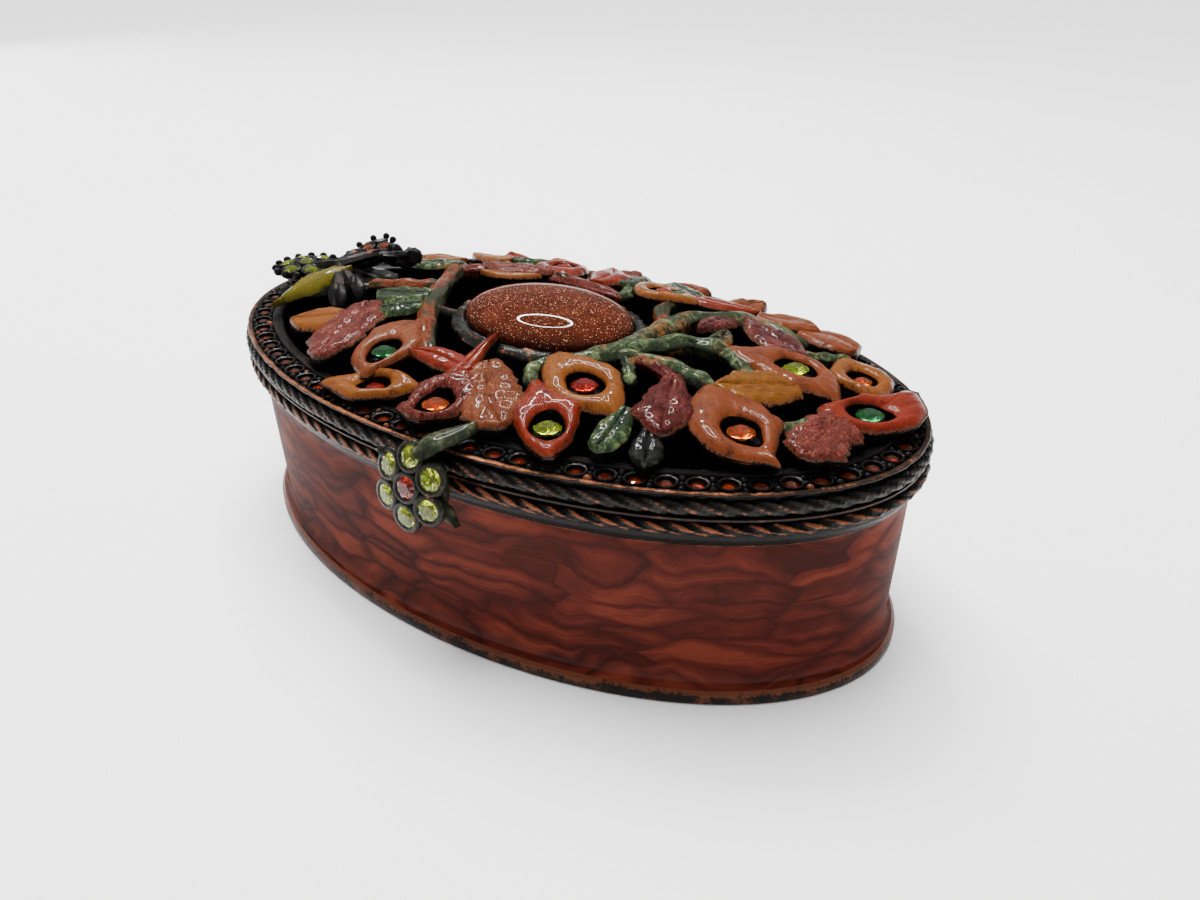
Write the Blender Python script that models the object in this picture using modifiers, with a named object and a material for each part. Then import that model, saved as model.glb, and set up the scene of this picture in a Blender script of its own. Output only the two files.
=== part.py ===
"""Oval enamelled trinket box with a lift-off lid of cast leaves and branches.

Metres, +Z up. The origin is the centre of the underside, +X runs along the
long axis, and -Y is the front, where the crystal flower hangs over the rim.
An inset is a distance inwards from the oval of the rim, at right angles to it.
Places on the lid are shares, in hundredths, of the rim's half length and half
width, because leaves and branches are free carving drawn on that oval.
"""
import math
from collections import namedtuple

import bmesh
import bpy
from mathutils import Matrix, Vector

# Oval of the rim, seen from above
RIM_LENGTH = 0.125
RIM_WIDTH = 0.0716
RIM_SIDES = 36

# Box
BOX_HEIGHT = 0.032
FLOOR_THICKNESS = 0.0016
WALL_THICKNESS = 0.0015
WALL_INSET = 0.00135
WALL_TAPER = 0.0004
FLANGE_INSET = 0.0001
FLANGE_HEIGHT = 0.0018
FLARE_HEIGHT = 0.004
BAND_INSET = 0.0002
BAND_HEIGHT = 0.0022
BOX_ROPE_DIAMETER = 0.0021
BOX_LEDGE_THICKNESS = 0.0006
ROPE_OVERHANG = 0.0008

# Lid rim
PARTING_GAP = 0.0003
LID_ROPE_DIAMETER = 0.0024
COVE_HEIGHT = 0.0007
COVE_INSET = 0.0006
LIP_HEIGHT = 0.0003
LIP_WIDTH = 0.0008
CHANNEL_WIDTH = 0.0034
CHANNEL_DEPTH = 0.0011
INNER_LEDGE_WIDTH = 0.0018
INNER_LEDGE_RISE = 0.0003
RIM_THICKNESS = 0.0026
LOCATING_LIP_DEPTH = 0.002
LOCATING_LIP_THICKNESS = 0.001
LID_CLEARANCE = 0.00035

# Openwork of the lid
EDGE_RISE = 0.002
CROWN_RISE = 0.0044
LEAF_THICKNESS = 0.0026
EYE_DEPTH = 0.0019
EYE_FLOOR = 0.001
CHANNEL_HEADROOM = 0.0007
BRANCH_SINK = 0.0006
THIN_BRANCH = 0.0027

# Stones: the crown's height and the back's depth are shares of a stone's radius
STONE_GAP = 0.0003
STONE_CROWN = 0.3
STONE_BACK = 0.6
LEAF_STONE_SIDES = 6
FLOWER_STONE_SIDES = 6
RIM_STONE_DIAMETER = 0.003
RIM_STONE_PITCH = 0.004
RIM_STONE_RISE = 0.0002
CABOCHON_LENGTH = 0.030
CABOCHON_WIDTH = 0.022
CABOCHON_HEIGHT = 0.0054
CABOCHON_GIRDLE = 0.0014
CABOCHON_SIDES = 20
COLLAR_WIDTH = 0.0026
COLLAR_FLOOR = 0.0012
COLLAR_DEPTH = 0.0013
COLLAR_LIFT = 0.0047
COLLAR_SIDES = 16
TIE_DIAMETER = 0.002

# Crystal flowers
CUP_WALL = 0.00035
CUP_DEPTH = 0.001
CUP_FLOOR = 0.0007
CUP_RIM = 0.0004
PRONG_REACH = 0.0014
PRONG_RISE = 0.0006

# Front flower
FLOWER_STONE_DIAMETER = 0.0037
FLOWER_TILT = math.radians(14)
FLOWER_DROP = 0.0045
FLOWER_STANDOFF = 0.0042
FLOWER_ALONG = 9.5
PETAL_TILT = math.radians(12)
SEPAL_REACH = 0.0013
ARM_WIDTH = 0.0046
ARM_THICKNESS = 0.0014
ARM_HEADROOM = 0.0005

# Spray on the left end
SPRAY_GAP = 0.0013
SPRAY_LIFT = 0.001
LARGE_STONE_DIAMETER = 0.003
LARGE_TILT = math.radians(12)
SMALL_STONE_DIAMETER = 0.0023
SMALL_TILT = math.radians(18)
SMALL_FLOWER_RISE = 0.0042
SPRAY_STEM_DIAMETER = 0.0024
BUD_DIAMETER = 0.0036
BUD_SIDES = 6
LONG_PETAL_WIDTH = 0.0048
LONG_PETAL_THICKNESS = 0.0011
LONG_PETAL_SLANT = 0.45

# Worked out
HALF_LENGTH = RIM_LENGTH / 2
HALF_WIDTH = RIM_WIDTH / 2
LID_BOTTOM = BOX_HEIGHT + PARTING_GAP
RIM_TOP = LID_BOTTOM + LID_ROPE_DIAMETER + COVE_HEIGHT + LIP_HEIGHT
CHANNEL_OUTER = LIP_WIDTH
CHANNEL_INNER = CHANNEL_OUTER + CHANNEL_WIDTH
OPENING_INSET = CHANNEL_INNER + INNER_LEDGE_WIDTH
CHANNEL_FLOOR = RIM_TOP - CHANNEL_DEPTH
COLLAR_FLOOR_TOP = RIM_TOP + COLLAR_LIFT - COLLAR_DEPTH
CUTTER_REACH = 0.004
SIMPLIFY_ANGLE = math.radians(0.4)
SHARP_ANGLE = math.radians(35)

# Leaf of the lid: root and tip in hundredths of the rim's half length and half
# width, width in hundredths of the half width, bow to the left of its run in
# hundredths of its length, lift of root and tip above the dome in tenths of a
# millimetre, and, for an eye, its place along the leaf in hundredths.
Leaf = namedtuple("Leaf", "name root tip width bow lift_root lift_tip eye stone",
                  defaults=(0, 0, 0, 0, None))

LARGE_EYE = 0.004
SMALL_EYE = 0.003

# Shares of a leaf's length at which its sections stand, and the width that needs the fuller set
LEAF_STATIONS = (0.0, 0.25, 0.55, 0.82, 1.0)
SMALL_LEAF_STATIONS = (0.0, 0.36, 0.74, 1.0)
SMALL_LEAF = 24

LEAVES = (
    Leaf("mauve_left", (-48, -29), (-39, -78), 26, 0, 2, 6),
    Leaf("ochre_left", (-49, -44), (-64, -56), 23, 0, 0, 4),
    Leaf("brown_left", (-29, -34), (-21, -80), 31, 0, 2, 8, 62, LARGE_EYE),
    Leaf("ochre_front_left", (-6, -74), (-31, -89), 20, 0, 0, 0, 45, SMALL_EYE),
    Leaf("mauve_front", (2, -58), (3, -94), 30, 0, 3, 4, 64, LARGE_EYE),
    Leaf("red_spike", (1, -66), (-1, -33), 13, 0, 4, 6),
    Leaf("red_arm", (3, -61), (-17, -60), 13, -8, 4, 6),
    Leaf("copper_front", (4, -50), (23, -83), 23, -6, 0, 6),
    Leaf("red_front", (17, -50), (38, -89), 26, 4, 2, 6, 64, LARGE_EYE),
    Leaf("ochre_front", (15, -34), (43, -57), 28, 0, 6, 6, 54, LARGE_EYE),
    Leaf("green_bud_front", (43, -50), (45, -77), 13, 0, 0, 4),
    Leaf("dark_front", (50, -54), (56, -74), 11, 0, -4, 0),
    Leaf("maroon_front", (45, -22), (54, -58), 19, 0, 2, 6),
    Leaf("brown_right", (46, 13), (79, 5), 30, 16, 4, 4, 56, LARGE_EYE),
    Leaf("golden_right", (70, 3), (55, -20), 24, 0, 0, 6),
    Leaf("terracotta_right", (53, -15), (80, -50), 30, -8, 3, 8, 60, LARGE_EYE),
    Leaf("mauve_right", (82, -5), (82, -40), 22, 0, 0, 4),
    Leaf("red_right", (77, -8), (91, 34), 25, -20, 2, 8, 38, LARGE_EYE),
    Leaf("ochre_right", (85, 20), (70, 50), 24, 0, 0, 4, 42, SMALL_EYE),
    Leaf("mauve_back_right", (64, 29), (41, 54), 22, 0, 2, 6),
    Leaf("maroon_inner", (38, 54), (38, 20), 15, 0, 0, 4),
    Leaf("green_bud_inner", (45, 10), (44, 28), 10, 0, 0, 6),
    Leaf("green_left", (-33, -14), (-51, -20), 17, 0, 6, 4),
    Leaf("green_left_small", (-31, -24), (-43, -36), 12, 0, 4, 2),
    Leaf("dark_left_front", (-62, 0), (-89, -27), 22, 0, -8, -6),
    Leaf("dark_left_back", (-62, 4), (-90, 20), 20, 0, -8, -6),
    Leaf("red_back_left", (-14, 50), (-29, 84), 26, 6, 8, 10, 52, LARGE_EYE),
    Leaf("red_curl_back", (-3, 46), (-12, 84), 22, -10, 8, 10),
    Leaf("green_back", (2, 56), (-1, 86), 15, 0, 4, 6),
    Leaf("ochre_back", (27, 56), (5, 64), 27, 10, 12, 10, 50, LARGE_EYE),
    Leaf("green_arch_back", (26, 64), (10, 83), 17, 10, 8, 8),
    Leaf("red_back", (22, 60), (42, 70), 20, 0, 8, 6),
    Leaf("terracotta_back", (42, 65), (60, 66), 21, 8, 7, 8),
    Leaf("terracotta_back_tip", (55, 62), (72, 55), 20, 10, 4, 6),
    Leaf("ochre_back_left", (-52, 46), (-69, 42), 18, 0, 6, 6),
    Leaf("ochre_back_middle", (-38, 58), (-56, 60), 19, 0, 10, 8),
    Leaf("green_bud_back", (-38, 56), (-30, 74), 13, 0, 10, 8),
    Leaf("mauve_back", (-19, 50), (-43, 42), 20, 10, 8, 10),
    Leaf("ochre_base_back", (-21, 44), (-37, 28), 15, 0, 2, 2),
    Leaf("green_curl_left", (-47, 34), (-66, 28), 16, 0, 6, 4),
    Leaf("red_edge_back", (-40, 66), (-51, 82), 20, 0, 0, 0),
    Leaf("ochre_edge_back", (-24, 68), (-36, 90), 20, 0, 0, 0, 50, SMALL_EYE),
    Leaf("mauve_edge_back", (-11, 74), (-5, 94), 19, 0, 2, 0),
    Leaf("brown_edge_back", (5, 74), (20, 92), 22, 0, 2, 0, 50, SMALL_EYE),
    Leaf("copper_edge_back", (28, 70), (38, 90), 19, 0, 0, 0),
)

# Branch of the lid: its run in the same shares, and its diameter
Branch = namedtuple("Branch", "name run diameter")

BRANCHES = (
    Branch("left", ((-50, 40), (-47, 28), (-39, 3), (-31, -20), (-24, -36), (-13, -56)), 0.0034),
    Branch("red_arm", ((-62, -8), (-50, -2), (-39, 3)), 0.0028),
    Branch("right", ((20, -37), (27, -19), (29, -1), (30, 17), (31, 34), (36, 50), (45, 56),
                     (60, 52)), 0.0036),
    Branch("olive_arch", ((28, -16), (33, -2), (40, 10), (49, 14)), 0.0034),
    Branch("green_right", ((48, 12), (54, 6), (60, -6)), 0.0026),
    Branch("green_low", ((27, -19), (34, -16), (45, -14), (56, -20)), 0.0028),
    Branch("pink_stem", ((32, -16), (40, -18), (49, -26)), 0.0024),
    Branch("stub", ((31, -18), (38, -34)), 0.002),
    Branch("green_front", ((18, -34), (15, -46), (19, -55)), 0.0024),
    Branch("stem_right", ((74, -28), (80, -10)), 0.0022),
    Branch("stem_back_right", ((62, 34), (72, 50)), 0.0024),
    Branch("twig_back", ((8, 40), (5, 54), (-6, 74)), 0.0024),
    Branch("ochre_stem", ((30, 18), (22, 36), (20, 56)), 0.0028),
    Branch("collar_back", ((-48, 30), (-40, 40), (-22, 48), (-8, 46), (8, 40)), 0.0028),
    Branch("left_end", ((-58, 4), (-74, 8), (-93, 5)), 0.0028),
    Branch("left_back", ((-50, 40), (-64, 44), (-80, 46)), 0.0028),
    Branch("back_rim", ((-34, 58), (-46, 74)), 0.0024),
)

# Tie that holds the collar: its direction from the middle in degrees, and its place on a branch
Tie = namedtuple("Tie", "angle place")

COLLAR_TIES = (Tie(5, (29, -1)), Tie(103, (-8, 46)), Tie(200, (-31, -20)), Tie(-28, (27, -19)))

# Places of the spray, in the same shares
LARGE_FLOWER_PLACE = (-85, -12)
SMALL_FLOWER_PLACE = (-73, 12)
SPRAY_FORK = (-74, -8)

OBJECT_NAME = "enamel_trinket_box"


def clear_scene():
    for item in list(bpy.data.objects):
        bpy.data.objects.remove(item, do_unlink=True)


def new_collection(name):
    collection = bpy.data.collections.new(name)
    bpy.context.scene.collection.children.link(collection)
    return collection


def new_material(name, colour, metallic, roughness, transmission=0.0):
    material = bpy.data.materials.new(name)
    material.use_nodes = True
    shader = material.node_tree.nodes["Principled BSDF"]
    shader.inputs["Base Color"].default_value = (*colour, 1.0)
    shader.inputs["Metallic"].default_value = metallic
    shader.inputs["Roughness"].default_value = roughness
    shader.inputs["Transmission Weight"].default_value = transmission
    material.diffuse_color = (*colour, 1.0)
    return material


# Meshes

def add_object(name, mesh, collection, material=None):
    item = bpy.data.objects.new(name, mesh)
    collection.objects.link(item)
    if material is not None:
        mesh.materials.append(material)
    return item


def hide_cutter(item):
    item.hide_render = True
    item.display_type = "WIRE"
    return item


def shade(mesh):
    """Smooth shading, with the clear edges kept sharp."""
    mesh.shade_smooth()
    mesh.set_sharp_from_angle(angle=SHARP_ANGLE)


def loft(name, sections, collection, material=None, ring=False):
    """A closed body through sections with equal numbers of points: capped, or joined end to end."""
    mesh = bpy.data.meshes.new(name)
    bm = bmesh.new()
    loops = [[bm.verts.new(point) for point in section] for section in sections]
    pairs = list(zip(loops, loops[1:]))
    if ring:
        pairs.append((loops[-1], loops[0]))
    for first, second in pairs:
        count = len(first)
        for k in range(count):
            following = (k + 1) % count
            bm.faces.new((first[k], first[following], second[following], second[k]))
    if not ring:
        bm.faces.new(loops[0])
        bm.faces.new(loops[-1])
    bmesh.ops.recalc_face_normals(bm, faces=bm.faces)
    # A bent four-sided face would open seams in a second Boolean
    bmesh.ops.triangulate(bm, faces=[face for face in bm.faces if len(face.verts) == 4])
    bm.to_mesh(mesh)
    bm.free()
    shade(mesh)
    return add_object(name, mesh, collection, material)


def turned(name, profile, sides, collection, material=None, smooth=False):
    """A profile of (radius, height) from the top, down the outer side, turned about Z."""
    mesh = bpy.data.meshes.new(name)
    points = [(radius, 0.0, height) for radius, height in profile]
    edges = [(k, k + 1) for k in range(len(points) - 1)]
    mesh.from_pydata(points, edges, [])
    item = add_object(name, mesh, collection, material)
    screw = item.modifiers.new("Turn", "SCREW")
    screw.axis = "Z"
    screw.steps = sides
    screw.render_steps = sides
    screw.use_merge_vertices = True
    screw.merge_threshold = 0.00001
    screw.use_smooth_shade = smooth
    return item


def fix_mesh(item):
    """Replaces an object's mesh by its evaluated one, welded, so that it can be joined."""
    bpy.context.view_layer.update()
    evaluated = item.evaluated_get(bpy.context.evaluated_depsgraph_get())
    mesh = bpy.data.meshes.new_from_object(evaluated)
    bm = bmesh.new()
    bm.from_mesh(mesh)
    bmesh.ops.remove_doubles(bm, verts=bm.verts, dist=0.000005)
    bmesh.ops.recalc_face_normals(bm, faces=bm.faces)
    bm.to_mesh(mesh)
    bm.free()
    shade(mesh)
    return mesh


def tube(name, points, diameter, collection, tapers=None, roundness=1):
    """A tube through points, made a mesh, with its ends closed."""
    curve = bpy.data.curves.new(name, "CURVE")
    curve.dimensions = "3D"
    curve.bevel_depth = diameter / 2
    curve.bevel_resolution = roundness
    curve.resolution_u = 1
    curve.use_fill_caps = True
    spline = curve.splines.new("BEZIER")
    spline.bezier_points.add(len(points) - 1)
    for k, (place, point) in enumerate(zip(points, spline.bezier_points)):
        point.co = place
        point.handle_left_type = "AUTO"
        point.handle_right_type = "AUTO"
        point.radius = tapers[k] if tapers else 1.0
    item = bpy.data.objects.new(name + "_curve", curve)
    collection.objects.link(item)
    mesh = fix_mesh(item)
    solid = add_object(name, mesh, collection)
    solid.matrix_world = item.matrix_world
    bpy.data.objects.remove(item, do_unlink=True)
    return solid


def boolean(item, operation, collection):
    modifier = item.modifiers.new(operation.title(), "BOOLEAN")
    modifier.operation = operation
    modifier.operand_type = "COLLECTION"
    modifier.collection = collection
    modifier.solver = "EXACT"
    return modifier


def simplify(item):
    """Joins the coplanar pieces that the Booleans leave in a face."""
    modifier = item.modifiers.new("Simplify", "DECIMATE")
    modifier.decimate_type = "DISSOLVE"
    modifier.angle_limit = SIMPLIFY_ANGLE
    return item


# The oval and the dome

def oval_point(half_length, half_width, inset, angle, height):
    """The point at an inset from an oval, measured at right angles to it."""
    outward = Vector((math.cos(angle) / half_length, math.sin(angle) / half_width)).normalized()
    return (half_length * math.cos(angle) - inset * outward.x,
            half_width * math.sin(angle) - inset * outward.y, height)


def oval_loop(half_length, half_width, inset, height, sides):
    return [oval_point(half_length, half_width, inset, math.tau * k / sides, height)
            for k in range(sides)]


def rim_loops(profile):
    return [oval_loop(HALF_LENGTH, HALF_WIDTH, inset, height, RIM_SIDES)
            for inset, height in profile]


def rope_profile(diameter, bottom):
    """Outer half of a rope bead, from its underside up."""
    radius = diameter / 2
    return [(radius - ROPE_OVERHANG - radius * math.cos(turn), bottom + radius + radius * math.sin(turn))
            for turn in (math.radians(-72), 0.0, math.radians(72))]


def plan(place):
    return place[0] / 100 * HALF_LENGTH, place[1] / 100 * HALF_WIDTH


def dome(x, y):
    """Height of the openwork's face above the floor, at a place in plan."""
    share = (x / (HALF_LENGTH - OPENING_INSET)) ** 2 + (y / (HALF_WIDTH - OPENING_INSET)) ** 2
    return RIM_TOP + EDGE_RISE + CROWN_RISE * max(0.0, 1.0 - share)


# Leaves and branches

def leaf_half_width(share):
    """Outline of a leaf: a blunt root, widest before the middle, and a point."""
    return math.sin(math.pi * (0.13 + 0.85 * share))


def leaf_line(leaf, share):
    """Point of a leaf's middle line on its face, and the direction across it in plan."""
    root = Vector(plan(leaf.root))
    run = Vector(plan(leaf.tip)) - root
    left = Vector((-run.y, run.x))
    bow = leaf.bow / 100
    place = root + run * share + left * bow * math.sin(math.pi * share)
    heading = (run + left * bow * math.pi * math.cos(math.pi * share)).normalized()
    lift = (leaf.lift_root + (leaf.lift_tip - leaf.lift_root) * share) / 10000
    return place, Vector((-heading.y, heading.x)), lift


def strip_section(middle, across, half_width, thickness, face, keeled=True):
    """Section of a leaf: its face from edge to edge, over a keel or a flat underside."""
    corners = [(half_width, 0.0), (-half_width, 0.0)]
    if keeled:
        corners += [(0.0, thickness)]
    else:
        corners += [(-0.75 * half_width, thickness), (0.75 * half_width, thickness)]
    section = []
    for side, depth in corners:
        point = middle + across * side
        section.append((point.x, point.y, face(point) - depth))
    return section


def lid_leaf(leaf, collection):
    thickness = EYE_DEPTH + EYE_FLOOR if leaf.stone else LEAF_THICKNESS
    half = leaf.width / 200 * HALF_WIDTH
    stations = SMALL_LEAF_STATIONS if leaf.width < SMALL_LEAF else LEAF_STATIONS
    sections = []
    for share in stations:
        middle, across, lift = leaf_line(leaf, share)

        def face(point, lift=lift):
            return dome(point.x, point.y) + lift
        sections.append(strip_section(middle, across, half * leaf_half_width(share), thickness, face,
                                      keeled=not leaf.stone))
    return hide_cutter(loft(leaf.name, sections, collection))


def eye_place(leaf):
    """Centre of a leaf's eye on its face, and the direction along the leaf."""
    middle, across, lift = leaf_line(leaf, leaf.eye / 100)
    return (Vector((middle.x, middle.y, dome(middle.x, middle.y) + lift)),
            math.atan2(-across.x, across.y))


def eye_pocket(leaf, collection):
    """Cutter of a leaf's eye: an upright oval, longer along the leaf."""
    centre, heading = eye_place(leaf)
    short = leaf.stone / 2 + STONE_GAP
    long = short * 1.3
    along = Vector((math.cos(heading), math.sin(heading)))
    across = Vector((-along.y, along.x))
    sections = []
    for height in (centre.z - EYE_DEPTH, centre.z + CUTTER_REACH):
        loop = []
        for k in range(LEAF_STONE_SIDES):
            turn = math.tau * (k + 0.5) / LEAF_STONE_SIDES
            flat = along * long * math.cos(turn) + across * short * math.sin(turn)
            loop.append((centre.x + flat.x, centre.y + flat.y, height))
        sections.append(loop)
    return hide_cutter(loft(leaf.name + "_eye", sections, collection))


def lid_branch(branch, collection):
    points = []
    for place in branch.run:
        x, y = plan(place)
        points.append((x, y, dome(x, y) - BRANCH_SINK))
    tapers = [0.8] + [1.0] * (len(points) - 2) + [0.7]
    return hide_cutter(tube("branch_" + branch.name, points, branch.diameter, collection, tapers,
                            roundness=0 if branch.diameter < THIN_BRANCH else 1))


# Stones

def upright(item, place, normal, across=(1.0, 0.0, 0.0)):
    """Stands an object at a place, with its Z along a normal and its X near another direction."""
    normal = Vector(normal).normalized()
    across = Vector(across)
    across = (across - normal * across.dot(normal)).normalized()
    turned_axes = Matrix((across, normal.cross(across), normal)).transposed()
    item.location = place
    item.rotation_mode = "QUATERNION"
    item.rotation_quaternion = turned_axes.to_quaternion()
    return item


def stone(name, diameter, sides, place, normal, collection, material):
    """A round faceted stone: table, crown, girdle and a pointed back."""
    radius = diameter / 2
    crown = STONE_CROWN * radius
    profile = ((0.0, crown), (0.58 * radius, crown), (radius, 0.0), (0.0, -STONE_BACK * radius))
    return upright(turned(name, profile, sides, collection, material), place, normal)


def leaf_stones(collection, materials):
    number = 0
    for leaf in LEAVES:
        if not leaf.stone:
            continue
        number += 1
        centre, _heading = eye_place(leaf)
        height = centre.z - EYE_DEPTH + STONE_GAP + STONE_BACK * leaf.stone / 2
        stone(f"leaf_crystal_{number:02d}", leaf.stone - STONE_GAP, LEAF_STONE_SIDES,
              (centre.x, centre.y, height), (0, 0, 1), collection, materials["crystal"])


def equal_arc_angles(half_length, half_width, count, samples=2000):
    """Angles of points spaced equally along an oval."""
    lengths = [0.0]
    before = Vector((half_length, 0.0))
    for k in range(1, samples + 1):
        turn = math.tau * k / samples
        here = Vector((half_length * math.cos(turn), half_width * math.sin(turn)))
        lengths.append(lengths[-1] + (here - before).length)
        before = here
    angles = []
    k = 0
    for number in range(count):
        wanted = lengths[-1] * number / count
        while lengths[k + 1] < wanted:
            k += 1
        part = (wanted - lengths[k]) / (lengths[k + 1] - lengths[k])
        angles.append(math.tau * (k + part) / samples)
    return angles


def oval_length(half_length, half_width):
    """Length round an oval, by Ramanujan's formula."""
    sides = half_length + half_width
    return math.pi * (3 * sides - math.sqrt((3 * half_length + half_width)
                                            * (half_length + 3 * half_width)))


def rim_crystals(collection, materials):
    """The chain of set stones in the rim's channel: wide and high at each stone, pinched between."""
    middle = (CHANNEL_OUTER + CHANNEL_INNER) / 2
    half_length = HALF_LENGTH - middle
    half_width = HALF_WIDTH - middle
    count = round(oval_length(half_length, half_width) / RIM_STONE_PITCH)
    bottom = CHANNEL_FLOOR + STONE_GAP
    widest = min(RIM_STONE_DIAMETER / 2, CHANNEL_WIDTH / 2 - STONE_GAP * 1.3)
    sections = []
    for number, angle in enumerate(equal_arc_angles(half_length, half_width, 2 * count)):
        at_stone = number % 2 == 0
        half = widest if at_stone else 0.55 * widest
        top = RIM_TOP + RIM_STONE_RISE if at_stone else (bottom + RIM_TOP) / 2
        corners = ((half, bottom), (0.0, top), (-half, bottom))
        sections.append([oval_point(half_length, half_width, inset, angle, height)
                         for inset, height in corners])
    return loft("rim_crystals", sections, collection, materials["rim crystal"], ring=True)


def cabochon(collection, materials):
    """Oval domed stone, turned on its length and narrowed to its width."""
    radius = CABOCHON_LENGTH / 2
    rise = CABOCHON_HEIGHT - CABOCHON_GIRDLE
    profile = [(0.0, CABOCHON_HEIGHT)]
    profile += [(radius * math.sin(turn), CABOCHON_GIRDLE + rise * math.cos(turn))
                for turn in (math.radians(angle) for angle in (25, 48, 70, 90))]
    profile += [(0.94 * radius, 0.0), (0.0, 0.0)]
    item = turned("cabochon", profile, CABOCHON_SIDES, collection, materials["goldstone"], smooth=True)
    item.location.z = COLLAR_FLOOR_TOP + STONE_GAP
    item.scale.y = CABOCHON_WIDTH / CABOCHON_LENGTH
    return item


# The box and the lid

def box(collection, materials):
    """Hollow oval body, lofted down its outer side from the underside and back down inside."""
    rope_bottom = BOX_HEIGHT - BOX_LEDGE_THICKNESS - BOX_ROPE_DIAMETER
    wall_foot = FLANGE_HEIGHT + FLARE_HEIGHT
    foot_inset = WALL_INSET + WALL_TAPER
    profile = [
        (FLANGE_INSET, 0.0),
        (FLANGE_INSET, FLANGE_HEIGHT),
        (FLANGE_INSET + 0.7 * (foot_inset - FLANGE_INSET), FLANGE_HEIGHT + 0.38 * FLARE_HEIGHT),
        (foot_inset, wall_foot),
        (WALL_INSET, rope_bottom - BAND_HEIGHT),
        (BAND_INSET, rope_bottom - 0.25 * BAND_HEIGHT),
    ]
    profile += rope_profile(BOX_ROPE_DIAMETER, rope_bottom)
    profile += [
        (BAND_INSET, BOX_HEIGHT),
        (WALL_INSET + WALL_THICKNESS, BOX_HEIGHT),
        (foot_inset + WALL_THICKNESS, FLOOR_THICKNESS),
    ]
    return loft("box", rim_loops(profile), collection, materials["red enamel"])


def lid_rim(collection):
    """The lid's rim in section: rope, cove, lip, channel, inner ledge and locating lip."""
    cove = LID_BOTTOM + LID_ROPE_DIAMETER
    lip_outer = WALL_INSET + WALL_THICKNESS + LID_CLEARANCE
    underside = RIM_TOP - RIM_THICKNESS
    profile = rope_profile(LID_ROPE_DIAMETER, LID_BOTTOM)
    profile += [
        (COVE_INSET, cove + COVE_HEIGHT / 2),
        (0.0, cove + COVE_HEIGHT),
        (0.0, RIM_TOP),
        (CHANNEL_OUTER, RIM_TOP),
        (CHANNEL_OUTER, CHANNEL_FLOOR),
        (CHANNEL_INNER, CHANNEL_FLOOR),
        (CHANNEL_INNER, RIM_TOP + INNER_LEDGE_RISE),
        (OPENING_INSET, RIM_TOP),
        (OPENING_INSET, underside),
        (lip_outer + LOCATING_LIP_THICKNESS, underside),
        (lip_outer + LOCATING_LIP_THICKNESS, LID_BOTTOM - LOCATING_LIP_DEPTH),
        (lip_outer, LID_BOTTOM - LOCATING_LIP_DEPTH),
        (lip_outer, LID_BOTTOM),
    ]
    return hide_cutter(loft("lid_rim", rim_loops(profile), collection, ring=True))


def channel_headroom(collection):
    """Cutter that keeps leaves clear of the stones in the channel and of the lip."""
    inner = CHANNEL_INNER + 0.1 * INNER_LEDGE_WIDTH
    top = RIM_TOP + CHANNEL_HEADROOM
    profile = ((-CUTTER_REACH, CHANNEL_FLOOR), (-CUTTER_REACH, top), (inner, top),
               (inner, CHANNEL_FLOOR))
    return hide_cutter(loft("channel_headroom", rim_loops(profile), collection, ring=True))


def collar(name, collection, material):
    """The oval cup that holds the cabochon."""
    half_length = CABOCHON_LENGTH / 2
    half_width = CABOCHON_WIDTH / 2
    bottom = COLLAR_FLOOR_TOP - COLLAR_FLOOR
    profile = ((-0.7 * COLLAR_WIDTH, bottom), (-COLLAR_WIDTH, COLLAR_FLOOR_TOP),
               (-0.45 * COLLAR_WIDTH, COLLAR_FLOOR_TOP + COLLAR_DEPTH),
               (-STONE_GAP, COLLAR_FLOOR_TOP + COLLAR_DEPTH), (-STONE_GAP, COLLAR_FLOOR_TOP))
    loops = [oval_loop(half_length, half_width, inset, height, COLLAR_SIDES)
             for inset, height in profile]
    return loft(name, loops, collection, material)


def collar_ties(collection):
    """Short struts from the collar's wall to the branches near it, at whatever distance they lie."""
    for number, tie in enumerate(COLLAR_TIES):
        start = oval_point(CABOCHON_LENGTH / 2, CABOCHON_WIDTH / 2, -0.55 * COLLAR_WIDTH,
                           math.radians(tie.angle), COLLAR_FLOOR_TOP)
        x, y = plan(tie.place)
        end = (x, y, dome(x, y) - BRANCH_SINK)
        hide_cutter(tube(f"collar_tie_{number}", (start, end), TIE_DIAMETER, collection, roundness=0))


def lid(parts, forms, rim, cutters, headroom, materials):
    """One casting: collar, leaves and branches, cleared over the channel and joined to the rim."""
    item = collar("lid", parts, materials["bronze enamel"])
    for leaf in LEAVES:
        lid_leaf(leaf, forms)
        if leaf.stone:
            eye_pocket(leaf, cutters)
    for branch in BRANCHES:
        lid_branch(branch, forms)
    collar_ties(forms)
    lid_rim(rim)
    channel_headroom(headroom)
    boolean(item, "UNION", forms)
    boolean(item, "DIFFERENCE", headroom)
    boolean(item, "UNION", rim)
    boolean(item, "DIFFERENCE", cutters)
    return simplify(item)


# Crystal flowers

def flower_frames(centre, normal, pitch, tilt):
    """Place and normal of a flower's middle stone and of the six stones round it."""
    across = Vector((1.0, 0.0, 0.0))
    upward = normal.cross(across).normalized()
    across = upward.cross(normal)
    frames = [(centre, normal)]
    for k in range(6):
        turn = math.tau * (k + 0.5) / 6
        outward = across * math.cos(turn) + upward * math.sin(turn)
        place = centre + outward * pitch * math.cos(tilt / 2) - normal * pitch * math.sin(tilt / 2)
        frames.append((place, (normal * math.cos(tilt) + outward * math.sin(tilt)).normalized()))
    return frames


def flower_pitch(diameter, tilt):
    """Spacing of the stones: six-sided stones and cups, with a wall between the cups' floors."""
    return (diameter / 2 + STONE_GAP / math.cos(math.pi / 6)) * math.sqrt(3) + CUP_WALL \
        + CUP_DEPTH * math.sin(tilt)


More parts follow.
